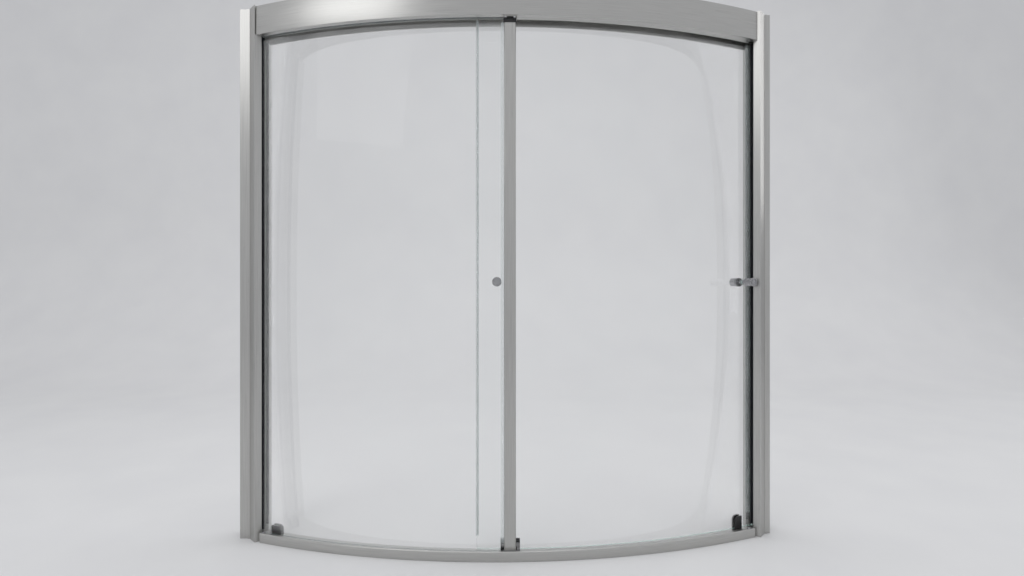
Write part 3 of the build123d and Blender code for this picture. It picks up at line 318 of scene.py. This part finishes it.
# %% [markdown]
# ## Sweeping a section along the bow
#
# Header, sill, fillers and the fixed pane are one section drawn along one arc. A curve with a bevel
# object could make them, but its ends are always square to the arc, so one Geometry Nodes tree bends
# them all instead. The mesh that goes in is a straight strip: x is the distance from the bow axis, y
# runs from 0 at the left end to 1 at the right end, and z is the height. The tree turns each point
# about the axis. Left Reach and Right Reach say how far to each side the ends stand. With End Radius
# at zero the ends are sawn flat, both in line with the jambs' faces, as the rails are. With a radius
# there that no point of the section passes, they are cut square to the curve, as glass is.


# %% Start and end of a tree
def start_tree(name, sizes):
    """Geometry tree with named number inputs and a material input called Finish."""
    tree = bpy.data.node_groups.new(name, "GeometryNodeTree")
    tree.interface.new_socket("Geometry", in_out="INPUT", socket_type="NodeSocketGeometry")
    for label, value in sizes.items():
        socket = tree.interface.new_socket(label, in_out="INPUT", socket_type="NodeSocketFloat")
        socket.default_value = value
    tree.interface.new_socket("Finish", in_out="INPUT", socket_type="NodeSocketMaterial")
    tree.interface.new_socket("Geometry", in_out="OUTPUT", socket_type="NodeSocketGeometry")
    return tree, tree.nodes.new("NodeGroupInput")


def end_tree(tree, inputs, geometry):
    """Realize the instances, set the finish and close the tree."""
    realize = tree.nodes.new("GeometryNodeRealizeInstances")
    finish = tree.nodes.new("GeometryNodeSetMaterial")
    output = tree.nodes.new("NodeGroupOutput")
    tree.links.new(geometry, realize.inputs["Geometry"])
    tree.links.new(realize.outputs["Geometry"], finish.inputs["Geometry"])
    tree.links.new(inputs.outputs["Finish"], finish.inputs["Material"])
    tree.links.new(finish.outputs["Geometry"], output.inputs["Geometry"])
    print(tree.name, "tree:", len(tree.nodes), "nodes")


# %% The bending tree
bend_tree, inputs = start_tree("bend_to_bow", {"Bow Y": BOW_Y, "Left Reach": -0.7,
                                               "Right Reach": 0.7, "End Radius": 0.0})
position = bend_tree.nodes.new("GeometryNodeInputPosition")
split = bend_tree.nodes.new("ShaderNodeSeparateXYZ")
bend_tree.links.new(position.outputs[0], split.inputs[0])
end_radius = math_node(bend_tree, "MAXIMUM", split.outputs["X"], inputs.outputs["End Radius"])
left, right = [math_node(bend_tree, "ARCSINE",
                         math_node(bend_tree, "DIVIDE", inputs.outputs[reach], end_radius))
               for reach in ("Left Reach", "Right Reach")]
span = math_node(bend_tree, "SUBTRACT", right, left)
part_way = math_node(bend_tree, "MULTIPLY", span, split.outputs["Y"])
angle = math_node(bend_tree, "ADD", left, part_way)
across = math_node(bend_tree, "MULTIPLY", split.outputs["X"], math_node(bend_tree, "SINE", angle))
inward = math_node(bend_tree, "MULTIPLY", split.outputs["X"], math_node(bend_tree, "COSINE", angle))
depth = math_node(bend_tree, "SUBTRACT", inputs.outputs["Bow Y"], inward)
joined = bend_tree.nodes.new("ShaderNodeCombineXYZ")
bend_tree.links.new(across, joined.inputs["X"])
bend_tree.links.new(depth, joined.inputs["Y"])
bend_tree.links.new(split.outputs["Z"], joined.inputs["Z"])
move = bend_tree.nodes.new("GeometryNodeSetPosition")
bend_tree.links.new(inputs.outputs["Geometry"], move.inputs["Geometry"])
bend_tree.links.new(joined.outputs[0], move.inputs["Position"])
end_tree(bend_tree, inputs, move.outputs["Geometry"])


# %% Growing a piece from a tree
def grow(name, tree, mesh, finish, sizes):
    """Run a tree on a mesh and keep the result as a plain mesh."""
    piece = bpy.data.objects.new(name, mesh)
    scene.collection.objects.link(piece)
    modifier = piece.modifiers.new("grow", "NODES")
    modifier.node_group = tree
    values = dict(sizes, Finish=finish)
    for item in tree.interface.items_tree:
        if item.in_out == "INPUT" and item.name in values:
            modifier[item.identifier] = values[item.name]
    bpy.context.view_layer.update()
    graph = bpy.context.evaluated_depsgraph_get()
    baked = bpy.data.meshes.new_from_object(piece.evaluated_get(graph))
    piece.modifiers.clear()
    piece.data = baked
    baked.name = name
    return piece


# %% A strip with a rounded section
EASE_STEPS = 3
SIDE_SHARE = 0.45
STATIONS = 97


def eased(corners, radius):
    """Outline of a section with each corner rounded."""
    points = []
    for index, corner in enumerate(corners):
        here = Vector(corner)
        before = Vector(corners[index - 1]) - here
        after = Vector(corners[(index + 1) % len(corners)]) - here
        reach = min(radius, SIDE_SHARE * before.length, SIDE_SHARE * after.length)
        start = here + before.normalized() * reach
        end = here + after.normalized() * reach
        for step in range(EASE_STEPS + 1):
            t = step / EASE_STEPS
            points.append(start * (1 - t) ** 2 + here * 2 * t * (1 - t) + end * t ** 2)
    return points


def strip(name, corners, radius):
    """Straight strip with a rounded section, ready to be bent; corners are in millimetres."""
    outline = [point / 1000 for point in eased(corners, radius)]
    count = len(outline)
    verts = [(p.x, k / (STATIONS - 1), p.y) for k in range(STATIONS) for p in outline]
    faces = [(k * count + i, k * count + (i + 1) % count,
              (k + 1) * count + (i + 1) % count, (k + 1) * count + i)
             for k in range(STATIONS - 1) for i in range(count)]
    faces.append(tuple(range(count)))
    faces.append(tuple(reversed(range((STATIONS - 1) * count, STATIONS * count))))
    mesh = bpy.data.meshes.new(name)
    mesh.from_pydata(verts, [], faces)
    return mesh


# %% Bending a section
def outward(mesh):
    """Turn every face outwards."""
    work = bmesh.new()
    work.from_mesh(mesh)
    bmesh.ops.recalc_face_normals(work, faces=work.faces)
    work.to_mesh(mesh)
    work.free()


def bent(node, corners, radius, finish, slot, left, right, end_radius=0.0):
    """Sweep a section along the bow and stand it in for a node; its reaches are in metres."""
    mesh = strip(node + "_section", corners, radius)
    piece = grow(node + "_swept", bend_tree, mesh, finish,
                 {"Left Reach": left, "Right Reach": right, "End Radius": end_radius})
    outward(piece.data)
    crease(piece.data)
    place(piece, node)
    low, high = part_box(node)
    print(node, "swept,", len(piece.data.polygons), "faces, node box", low[:], high[:])
    return piece


# %% [markdown]
# ## Header and sill
#
# The header is one extrusion: a fascia, a roof, a rear wall, a pocket for the fixed pane and, inside,
# the ledge with the half-round bead that the wheels run on. Its section is traced once around. The
# sill is lower at the back, so that water runs home, and has a groove for the pane. Their corners
# are rounded by half a millimetre or so, as a die leaves them. On the door's side of the post there
# is no fixed pane, so fillers close the pocket and the groove there. Sections are in millimetres:
# first the distance from the bow axis, then the height.

# %% Places that header and sill share
FRONT, BACK = 2000, 1932
POCKET_FRONT, POCKET_BACK = 1986, 1975.5
FILLER_WALL, FILLER_DEPTH = 2, 6
FILLER_ENDS = {"left": 0.0203, "right": 0.6977, "end_radius": BOW_RADIUS}
print("rails", FRONT - BACK, "mm deep, pocket", POCKET_FRONT - POCKET_BACK, "mm wide")

# %% Header rail
FOOT, CROWN = 1413, 1493
SHELL = 2.5
LEDGE, LEDGE_END = 1440, 1955
BEAD, BEAD_RADIUS, BEAD_LIFT = 1947, 2, 0.5
POCKET_ROOF, POCKET_WALL = 1432, 2
BOSS = 6.8
inner_front, inner_back, inner_crown = FRONT - SHELL, BACK + SHELL, CROWN - SHELL
bead = [(BEAD + BEAD_RADIUS * cos(radians(a)), LEDGE + BEAD_LIFT + BEAD_RADIUS * sin(radians(a)))
        for a in range(0, 181, 20)]
shell_and_ledge = [(FRONT, FOOT), (FRONT, CROWN), (BACK, CROWN), (BACK, FOOT), (inner_back, FOOT),
                   (inner_back, LEDGE - SHELL), (LEDGE_END, LEDGE - SHELL), (LEDGE_END, LEDGE),
                   (BEAD + BEAD_RADIUS, LEDGE), *bead, (BEAD - BEAD_RADIUS, LEDGE),
                   (inner_back, LEDGE), (inner_back, inner_crown)]
boss_and_pocket = [(inner_front - BOSS, inner_crown), (inner_front - BOSS, inner_crown - BOSS),
                   (inner_front, inner_crown - BOSS), (inner_front, POCKET_ROOF + POCKET_WALL),
                   (POCKET_BACK - POCKET_WALL, POCKET_ROOF + POCKET_WALL),
                   (POCKET_BACK - POCKET_WALL, FOOT), (POCKET_BACK, FOOT),
                   (POCKET_BACK, POCKET_ROOF), (POCKET_FRONT, POCKET_ROOF), (POCKET_FRONT, FOOT)]
bent("header_rail", shell_and_ledge + boss_and_pocket, 0.6, bow_nickel, "brushed_nickel",
     left=-0.706, right=0.706)

# %% Header filler
bent("header_filler",
     [(POCKET_FRONT, FOOT), (POCKET_FRONT, FOOT + FILLER_DEPTH),
      (POCKET_FRONT - FILLER_WALL, FOOT + FILLER_DEPTH),
      (POCKET_FRONT - FILLER_WALL, FOOT + FILLER_WALL),
      (POCKET_BACK + FILLER_WALL, FOOT + FILLER_WALL),
      (POCKET_BACK + FILLER_WALL, FOOT + FILLER_DEPTH),
      (POCKET_BACK, FOOT + FILLER_DEPTH), (POCKET_BACK, FOOT)],
     0.3, bow_nickel, "brushed_nickel", **FILLER_ENDS)

# %% Sill track and its filler
SILL_LOW, SILL_HIGH, SILL_CHAMFER = 3, 26, 2
GROOVE_FLOOR = 10
SLOPE = (SILL_HIGH - SILL_LOW) / (FRONT - SILL_CHAMFER - BACK)


def sill_top(radius):
    """Height of the sill's slope, in millimetres, at a distance from the bow axis."""
    return SILL_LOW + SLOPE * (radius - BACK)


bent("sill_track",
     [(FRONT, 0), (FRONT, SILL_HIGH - SILL_CHAMFER), (FRONT - SILL_CHAMFER, SILL_HIGH),
      (POCKET_FRONT, sill_top(POCKET_FRONT)), (POCKET_FRONT, GROOVE_FLOOR),
      (POCKET_BACK, GROOVE_FLOOR), (POCKET_BACK, sill_top(POCKET_BACK)), (BACK, SILL_LOW), (BACK, 0)],
     0.5, bow_nickel, "brushed_nickel", left=-0.6927, right=0.6997)
bent("sill_filler",
     [(POCKET_FRONT, GROOVE_FLOOR), (POCKET_FRONT, sill_top(POCKET_FRONT)),
      (POCKET_BACK, sill_top(POCKET_BACK)), (POCKET_BACK, GROOVE_FLOOR),
      (POCKET_BACK + FILLER_WALL, GROOVE_FLOOR),
      (POCKET_BACK + FILLER_WALL, GROOVE_FLOOR + FILLER_DEPTH),
      (POCKET_FRONT - FILLER_WALL, GROOVE_FLOOR + FILLER_DEPTH),
      (POCKET_FRONT - FILLER_WALL, GROOVE_FLOOR)],
     0.3, bow_nickel, "brushed_nickel", **FILLER_ENDS)

# %% [markdown]
# ## Glass
#
# A pane's faces are clear and its cut edges are green, because light in an edge has come through the
# whole width of the sheet. Thick tinted glass could show that by itself, but the colour of a thin
# sheet is too faint, so the edges get a material of their own. A face belongs to the edge when it
# doesn't look along the radius. The fixed pane is swept like the rails. The door has holes, so it is
# a welded copy of its solid.

# %% Panes
PANE_FRONT, PANE_BACK = 1984, 1978
PANE_FOOT, PANE_HEAD = 13, 1430
LOOKS_ALONG_RADIUS = 0.8


def green_edges(piece):
    """Give the faces that don't look along the radius the cut-edge material."""
    piece.data.materials.clear()
    piece.data.materials.append(clear_glass)
    piece.data.materials.append(cut_edge)
    count = 0
    for face in piece.data.polygons:
        radial = Vector((face.center.x, face.center.y - BOW_Y, 0)).normalized()
        face.material_index = 0 if abs(face.normal.dot(radial)) > LOOKS_ALONG_RADIUS else 1
        count += face.material_index
    print(piece.name, "has", count, "edge faces")


green_edges(bent("fixed_glass", [(PANE_FRONT, PANE_FOOT), (PANE_FRONT, PANE_HEAD),
                                 (PANE_BACK, PANE_HEAD), (PANE_BACK, PANE_FOOT)],
                 0.4, clear_glass, "clear_glass", left=-0.702, right=-0.002,
                 end_radius=PANE_FRONT / 1000))
green_edges(dress("door_glass", clear_glass))

# %% [markdown]
# ## Screws
#
# Pan-head and countersunk screws differ only in their heads. Each could be modelled where it sits,
# but they are all alike, so one of each kind is built with a cross recess, and a small tree sets a
# copy on every seat. The seat's own direction travels with the points as an attribute named axis.


# %% One screw of each kind
SIDES = 24
SLOT_HALF, SLOT_REACH = 0.13, 0.55
RECESS_DEPTH, RECESS_TAPER = 0.35, 0.75
SCREW_CREASE = 35


def screw_mesh(name, profile):
    """Screw of head radius 1 whose profile runs from the rim of its top down to the shank's end."""
    work = bmesh.new()
    rings = [[work.verts.new((r * cos(2 * pi * k / SIDES), r * sin(2 * pi * k / SIDES), z))
              for k in range(SIDES)] for r, z in profile]
    for upper, lower in zip(rings, rings[1:]):
        for k in range(SIDES):
            work.faces.new((upper[k], lower[k], lower[(k + 1) % SIDES], upper[(k + 1) % SIDES]))
    work.faces.new(rings[-1])
    top = profile[0][1]
    a, b = SLOT_HALF, SLOT_REACH
    cross = [(b, -a), (b, a), (a, a), (a, b), (-a, b), (-a, a), (-b, a), (-b, -a), (-a, -a),
             (-a, -b), (a, -b), (a, -a)]
    rim = [work.verts.new((x, y, top)) for x, y in cross]
    floor = [work.verts.new((x * RECESS_TAPER, y * RECESS_TAPER, top - RECESS_DEPTH))
             for x, y in cross]
    for k in range(len(cross)):
        after = (k + 1) % len(cross)
        work.faces.new((rim[k], rim[after], floor[after], floor[k]))
    work.faces.new(floor)
    loops = [edge for edge in work.edges if len(edge.link_faces) == 1
             and all(abs(v.co.z - top) < 1e-6 for v in edge.verts)]
    bmesh.ops.triangle_fill(work, use_beauty=True, use_dissolve=False, edges=loops,
                            normal=(0, 0, 1))
    bmesh.ops.recalc_face_normals(work, faces=work.faces)
    mesh = bpy.data.meshes.new(name)
    work.to_mesh(mesh)
    work.free()
    crease(mesh, SCREW_CREASE)
    return mesh


pan_head = screw_mesh("pan_head", [(0.72, 0.63), (0.9, 0.56), (0.98, 0.42), (1.0, 0.25),
                                   (1.0, 0.0), (0.5, 0.0), (0.5, -1.5)])
flat_head = screw_mesh("flat_head", [(0.98, 0.0), (1.0, -0.02), (0.56, -0.44), (0.55, -4.0)])
print("screws:", len(pan_head.polygons), "and", len(flat_head.polygons), "faces each")

# %% The screw tree
screw_tree, inputs = start_tree("screws_on_seats", {"Head Radius": 0.004})
screw_tree.interface.new_socket("Screw", in_out="INPUT", socket_type="NodeSocketObject")
nodes, link = screw_tree.nodes, screw_tree.links.new
info = nodes.new("GeometryNodeObjectInfo")
link(inputs.outputs["Screw"], info.inputs["Object"])
axis = nodes.new("GeometryNodeInputNamedAttribute")
axis.data_type = "FLOAT_VECTOR"
axis.inputs["Name"].default_value = "axis"
aim = nodes.new("FunctionNodeAlignRotationToVector")
aim.axis = "Z"
link(axis.outputs["Attribute"], aim.inputs["Vector"])
setter = nodes.new("GeometryNodeInstanceOnPoints")
link(inputs.outputs["Geometry"], setter.inputs["Points"])
link(info.outputs["Geometry"], setter.inputs["Instance"])
link(aim.outputs["Rotation"], setter.inputs["Rotation"])
link(inputs.outputs["Head Radius"], setter.inputs["Scale"])
end_tree(screw_tree, inputs, setter.outputs["Instances"])


# %% Setting screws on their seats
def set_screws(node, source, finish, head_radius, seats):
    """Stand a screw on each seat, a point and a direction, in place of a node of screws."""
    mesh = bpy.data.meshes.new(node + "_seats")
    mesh.from_pydata([seat for seat, _ in seats], [], [])
    direction = mesh.attributes.new("axis", "FLOAT_VECTOR", "POINT")
    for index, (_, aim_at) in enumerate(seats):
        direction.data[index].vector = aim_at
    pattern = bpy.data.objects.new(node + "_pattern", source)
    scene.collection.objects.link(pattern)
    piece = grow(node + "_set", screw_tree, mesh, finish,
                 {"Head Radius": head_radius, "Screw": pattern})
    bpy.data.objects.remove(pattern)
    place(piece, node)
    print(node, len(seats), "screws,", len(piece.data.polygons), "faces")


def on_slope(x, radius, lift):
    """Point over the sill's slope, from millimetres, and the direction square to the slope."""
    angle = asin(x / radius)
    seat = (radius * sin(angle) / 1000, BOW_Y - radius * cos(angle) / 1000,
            (sill_top(radius) + lift) / 1000)
    return seat, Vector((-SLOPE * sin(angle), SLOPE * cos(angle), 1)).normalized()


# %% Screws of jambs, sill, header and post
INWARD, UP, DOWN = (0, 1, 0), (0, 0, 1), (0, 0, -1)
JAMB_SCREWS_X, JAMB_SCREWS_Y = (-0.731, 0.738), 0.17075
JAMB_MIDDLE, JAMB_PITCH = 0.7475, 0.64
SILL_SCREWS_X, SILL_SCREWS_RADIUS, SILL_HEAD_LIFT = (-683.5, 683.5), 1992, 0.02
BRACKETS_Y = 0.14475
ROOF_SCREWS_X, ROOF_Z = (-0.695, 0.695), CROWN / 1000
BRACKET_FACE, BRACKET_SCREWS_Z = 0.6869, (1.4515, 1.4635)
POST_HEAD_SCREWS_X, POST_HEAD_Y, POST_HEAD_Z = (-0.010, 0.013), -0.027, 1.4105
POST_FOOT_SCREWS_X, POST_FOOT_RADIUS, POST_FOOT_LIFT = (-14, 19), 1951, 1.59

set_screws("jamb_screws", pan_head, zinc, 0.0038,
           [((x, JAMB_SCREWS_Y, JAMB_MIDDLE + step * JAMB_PITCH), INWARD)
            for x in JAMB_SCREWS_X for step in (-1, 0, 1)])
set_screws("sill_screws", pan_head, polished, 0.005,
           [on_slope(x, SILL_SCREWS_RADIUS, SILL_HEAD_LIFT) for x in SILL_SCREWS_X])
set_screws("header_screws", flat_head, zinc, 0.0045,
           [((x, BRACKETS_Y, ROOF_Z), UP) for x in ROOF_SCREWS_X])
set_screws("bracket_screws", pan_head, zinc, 0.0044,
           [((side * BRACKET_FACE, BRACKETS_Y, z), (-side, 0, 0))
            for side in (-1, 1) for z in BRACKET_SCREWS_Z])
set_screws("post_screws", pan_head, zinc, 0.0038,
           [((x, POST_HEAD_Y, POST_HEAD_Z), DOWN) for x in POST_HEAD_SCREWS_X]
           + [on_slope(x, POST_FOOT_RADIUS, POST_FOOT_LIFT) for x in POST_FOOT_SCREWS_X])

# %% [markdown]
# ## Brush seal
#
# The strip on the back of the post is thousands of short fibres in a backing tape. A hair system
# could grow them, but a tree gives a plain mesh that exports. It spreads points over a grid, sets a
# thin four-sided cone on each and tips it a little at random from a fixed seed, so every run gives
# the same brush.

# %% Fibres of the brush
COLUMNS, ROWS = 6, 560
GRID_WIDTH, GRID_HEIGHT = 0.86, 0.998
TAPE, FIBRE_START = 0.0006, 0.0005
FIBRE_TIP, FIBRE_ROOT, LEAN = 0.00018, 0.0005, 0.1
brush_tree, inputs = start_tree("brush", {"Width": 0.008, "Height": 1.35, "Pile": 0.004,
                                          "Middle Z": 0.72, "Back Y": -0.008})
nodes, link = brush_tree.nodes, brush_tree.links.new
grid = nodes.new("GeometryNodeMeshGrid")
grid.inputs["Vertices X"].default_value = COLUMNS
grid.inputs["Vertices Y"].default_value = ROWS
link(math_node(brush_tree, "MULTIPLY", inputs.outputs["Width"], GRID_WIDTH),
     grid.inputs["Size X"])
link(math_node(brush_tree, "MULTIPLY", inputs.outputs["Height"], GRID_HEIGHT),
     grid.inputs["Size Y"])
stand = nodes.new("GeometryNodeTransform")
stand.inputs["Rotation"].default_value = (pi / 2, 0, 0)
offset = nodes.new("ShaderNodeCombineXYZ")
link(math_node(brush_tree, "ADD", inputs.outputs["Back Y"], FIBRE_START), offset.inputs["Y"])
link(inputs.outputs["Middle Z"], offset.inputs["Z"])
link(grid.outputs["Mesh"], stand.inputs["Geometry"])
link(offset.outputs[0], stand.inputs["Translation"])
fibre = nodes.new("GeometryNodeMeshCone")
fibre.inputs["Vertices"].default_value = 4
fibre.inputs["Radius Top"].default_value = FIBRE_TIP
fibre.inputs["Radius Bottom"].default_value = FIBRE_ROOT
link(inputs.outputs["Pile"], fibre.inputs["Depth"])
tilt = nodes.new("FunctionNodeRandomValue")
tilt.data_type = "FLOAT_VECTOR"
tilt.inputs["Min"].default_value = (-pi / 2 - LEAN, -LEAN, -LEAN)
tilt.inputs["Max"].default_value = (-pi / 2 + LEAN, LEAN, LEAN)
tilt.inputs["Seed"].default_value = 5
length = nodes.new("FunctionNodeRandomValue")
length.data_type = "FLOAT_VECTOR"
length.inputs["Min"].default_value = (0.8, 0.8, 0.86)
length.inputs["Max"].default_value = (1.0, 1.0, 0.98)
length.inputs["Seed"].default_value = 8
plant = nodes.new("GeometryNodeInstanceOnPoints")
link(stand.outputs["Geometry"], plant.inputs["Points"])
link(fibre.outputs["Mesh"], plant.inputs["Instance"])
link(tilt.outputs["Value"], plant.inputs["Rotation"])
link(length.outputs["Value"], plant.inputs["Scale"])

# %% Tape of the brush
tape = nodes.new("GeometryNodeMeshCube")
tape_size = nodes.new("ShaderNodeCombineXYZ")
link(inputs.outputs["Width"], tape_size.inputs["X"])
tape_size.inputs["Y"].default_value = TAPE
link(inputs.outputs["Height"], tape_size.inputs["Z"])
link(tape_size.outputs[0], tape.inputs["Size"])
back = nodes.new("GeometryNodeTransform")
shift = nodes.new("ShaderNodeCombineXYZ")
link(math_node(brush_tree, "ADD", inputs.outputs["Back Y"], TAPE / 2), shift.inputs["Y"])
link(inputs.outputs["Middle Z"], shift.inputs["Z"])
link(tape.outputs["Mesh"], back.inputs["Geometry"])
link(shift.outputs[0], back.inputs["Translation"])
both = nodes.new("GeometryNodeJoinGeometry")
link(plant.outputs["Instances"], both.inputs["Geometry"])
link(back.outputs["Geometry"], both.inputs["Geometry"])
end_tree(brush_tree, inputs, both.outputs["Geometry"])

# %% The brush in its place
low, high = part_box("post_pile")
brush = grow("post_pile_brush", brush_tree, bpy.data.meshes.new("brush_start"), pile_fibre,
             {"Width": high.x - low.x, "Height": high.z - low.z, "Pile": high.y - low.y - TAPE,
              "Middle Z": (low.z + high.z) / 2, "Back Y": low.y})
place(brush, "post_pile")
print("brush:", len(brush.data.polygons), "faces")

# %% [markdown]
# ## Everything else
#
# The remaining pieces have the right shape already. Modelling them again would only risk the fit, so
# each is a softened copy. A row of the table gives a finish, its slot in the record, the radius of
# the edges in metres and the pieces. Knobs and wheels have radii of their own, and seals, gaskets,
# blocks, plates, studs and washers are small or mostly hidden, so those are only shaded smooth.

# %% Finishes piece by piece
FINISHES = [
    (upright_nickel, "brushed_nickel", 0.0004, ("wall_channel_left", "wall_channel_right",
                                                "jamb_left", "jamb_right", "centre_post")),
    (rubber, "black_rubber", 0.0003, ("jamb_strips_left", "jamb_strips_right", "jamb_gasket",
                                      "hanger_pad_left", "hanger_pad_right", "door_stops")),
    (vinyl, "clear_seal", 0.0, ("post_seal", "leading_seal", "trailing_seal")),
    (black_moulding, "black_plastic", 0.0004, ("corner_guide_left", "corner_guide_right",
                                               "guide_pads", "post_head_cap", "glass_bushes")),
    (polished, "chrome", 0.0, ("leading_knob_outer", "leading_knob_inner", "trailing_knob_inner",
                               "trailing_button")),
    (nylon, "white_nylon", 0.0, ("wheel_1", "wheel_2", "wheel_3", "wheel_4")),
    (zinc, "plain_steel", 0.0002, ("header_bracket_left", "header_bracket_right",
                                   "hanger_plate_left", "hanger_plate_right", "wheel_axles",
                                   "clamp_bolts", "clamp_nuts", "wheel_bearing_1",
                                   "wheel_bearing_2", "wheel_bearing_3", "wheel_bearing_4")),
    (vinyl, "clear_seal", 0.0, ("header_gasket", "sill_gasket")),
    (grey_rubber, "black_rubber", 0.0, ("setting_blocks",)),
    (upright_nickel, "brushed_nickel", 0.0, ("post_head_plate",)),
    (polished, "chrome", 0.0, ("post_foot_bracket",)),
    (zinc, "plain_steel", 0.0, ("knob_studs",)),
    (vinyl, "clear_seal", 0.0, ("knob_washers",)),
]
for finish, slot, edge, names in FINISHES:
    for name in names:
        dress(name, finish, edge)
    print(finish.name, "on", len(names), "pieces")

# %% [markdown]
# ## Floor, backdrop and light
#
# The enclosure stands on a plain pale floor that rolls up into a backdrop, which hides the corner
# that two planes would show. A large soft lamp stands in front on the left and draws the bright
# patch on the left of the header. A weaker one stands far right and behind, where the glass doesn't
# mirror it to the camera, and keeps the right jamb from going dark. One overhead lights the floor.
# Past the backdrop the camera sees a pale backing.

# %% Floor and backdrop
FLOOR_FRONT, FLOOR_HALF_WIDTH, FLOOR_DROP = -14.0, 14.0, 0.0003
ROLL_START, ROLL_RADIUS, BACKDROP_TOP = 2.2, 1.4, 6.0
pale = make_finish("pale_floor", (3, 3, 3), detail=2.0, dark=(0.78, 0.78, 0.785),
                   light=(0.81, 0.81, 0.81), smooth=0.55, rough=0.65)
profile = [(FLOOR_FRONT, 0.0), (ROLL_START, 0.0)]
profile += [(ROLL_START + ROLL_RADIUS * sin(radians(a)), ROLL_RADIUS - ROLL_RADIUS * cos(radians(a)))
            for a in range(6, 91, 6)]
profile += [(ROLL_START + ROLL_RADIUS, BACKDROP_TOP)]
verts = [(x, y, z - FLOOR_DROP) for y, z in profile for x in (-FLOOR_HALF_WIDTH, FLOOR_HALF_WIDTH)]
faces = [(2 * k, 2 * k + 1, 2 * k + 3, 2 * k + 2) for k in range(len(profile) - 1)]
mesh = bpy.data.meshes.new("floor")
mesh.from_pydata(verts, [], faces)
mesh.materials.append(pale)
for face in mesh.polygons:
    face.use_smooth = True
floor = bpy.data.objects.new("floor", mesh)
scene.collection.objects.link(floor)
print("floor and backdrop:", len(mesh.polygons), "faces")


# %% Lamps
def lamp(name, at, towards, width, height, power):
    """Rectangular soft lamp that looks at a point."""
    light = bpy.data.lights.new(name, "AREA")
    light.shape = "RECTANGLE"
    light.size, light.size_y, light.energy = width, height, power
    body = bpy.data.objects.new(name, light)
    body.location = at
    body.rotation_euler = (Vector(towards) - Vector(at)).to_track_quat("-Z", "Y").to_euler()
    scene.collection.objects.link(body)


lamp("front_lamp", at=(-3.2, -3.5, 3.6), towards=(-0.4, 0.0, 1.2), width=2.2, height=1.7, power=26)
lamp("side_lamp", at=(4.6, 1.2, 2.4), towards=(0.3, 0.1, 0.8), width=1.4, height=2.0, power=14)
lamp("top_lamp", at=(0.0, 0.4, 3.9), towards=(0.0, 0.2, 0.0), width=3.0, height=2.2, power=34)

# %% World
world = bpy.data.worlds.new("room_light")
world.use_nodes = True
scene.world = world
nodes, link = world.node_tree.nodes, world.node_tree.links.new
room = nodes["Background"]
room.inputs["Color"].default_value = (0.96, 0.97, 1.0, 1)
room.inputs["Strength"].default_value = 0.66
backing = nodes.new("ShaderNodeBackground")
backing.inputs["Color"].default_value = (0.66, 0.665, 0.675, 1)
ray = nodes.new("ShaderNodeLightPath")
choose = nodes.new("ShaderNodeMixShader")
link(ray.outputs["Is Camera Ray"], choose.inputs[0])
link(room.outputs[0], choose.inputs[1])
link(backing.outputs[0], choose.inputs[2])
link(choose.outputs[0], nodes["World Output"].inputs[0])
scene.view_settings.view_transform = "Standard"
print("world:", world.name, "with", len(nodes), "nodes")

# %% [markdown]
# ## Camera
#
# The camera stands a little left of the middle, about 1.4 m in front and just under half the height.
# It is level, so upright lines stay upright, and is turned about a degree to the right. The wide
# lens was fitted to the outline of the enclosure in the photograph, as a focal length in pixels.

# %% Camera
FOCAL_PIXELS, IMAGE_WIDTH = 546, 1024
SENSOR = 36
CAMERA_AT, CAMERA_TURN = (-0.024, -1.4422, 0.7074), -1.24
camera_data = bpy.data.cameras.new("camera")
camera_data.lens = FOCAL_PIXELS / IMAGE_WIDTH * SENSOR
camera_data.sensor_width = SENSOR
camera = bpy.data.objects.new("camera", camera_data)
camera.location = CAMERA_AT
camera.rotation_euler = (pi / 2, 0, radians(CAMERA_TURN))
scene.collection.objects.link(camera)
scene.camera = camera
print("camera lens", round(camera_data.lens, 2), "mm")
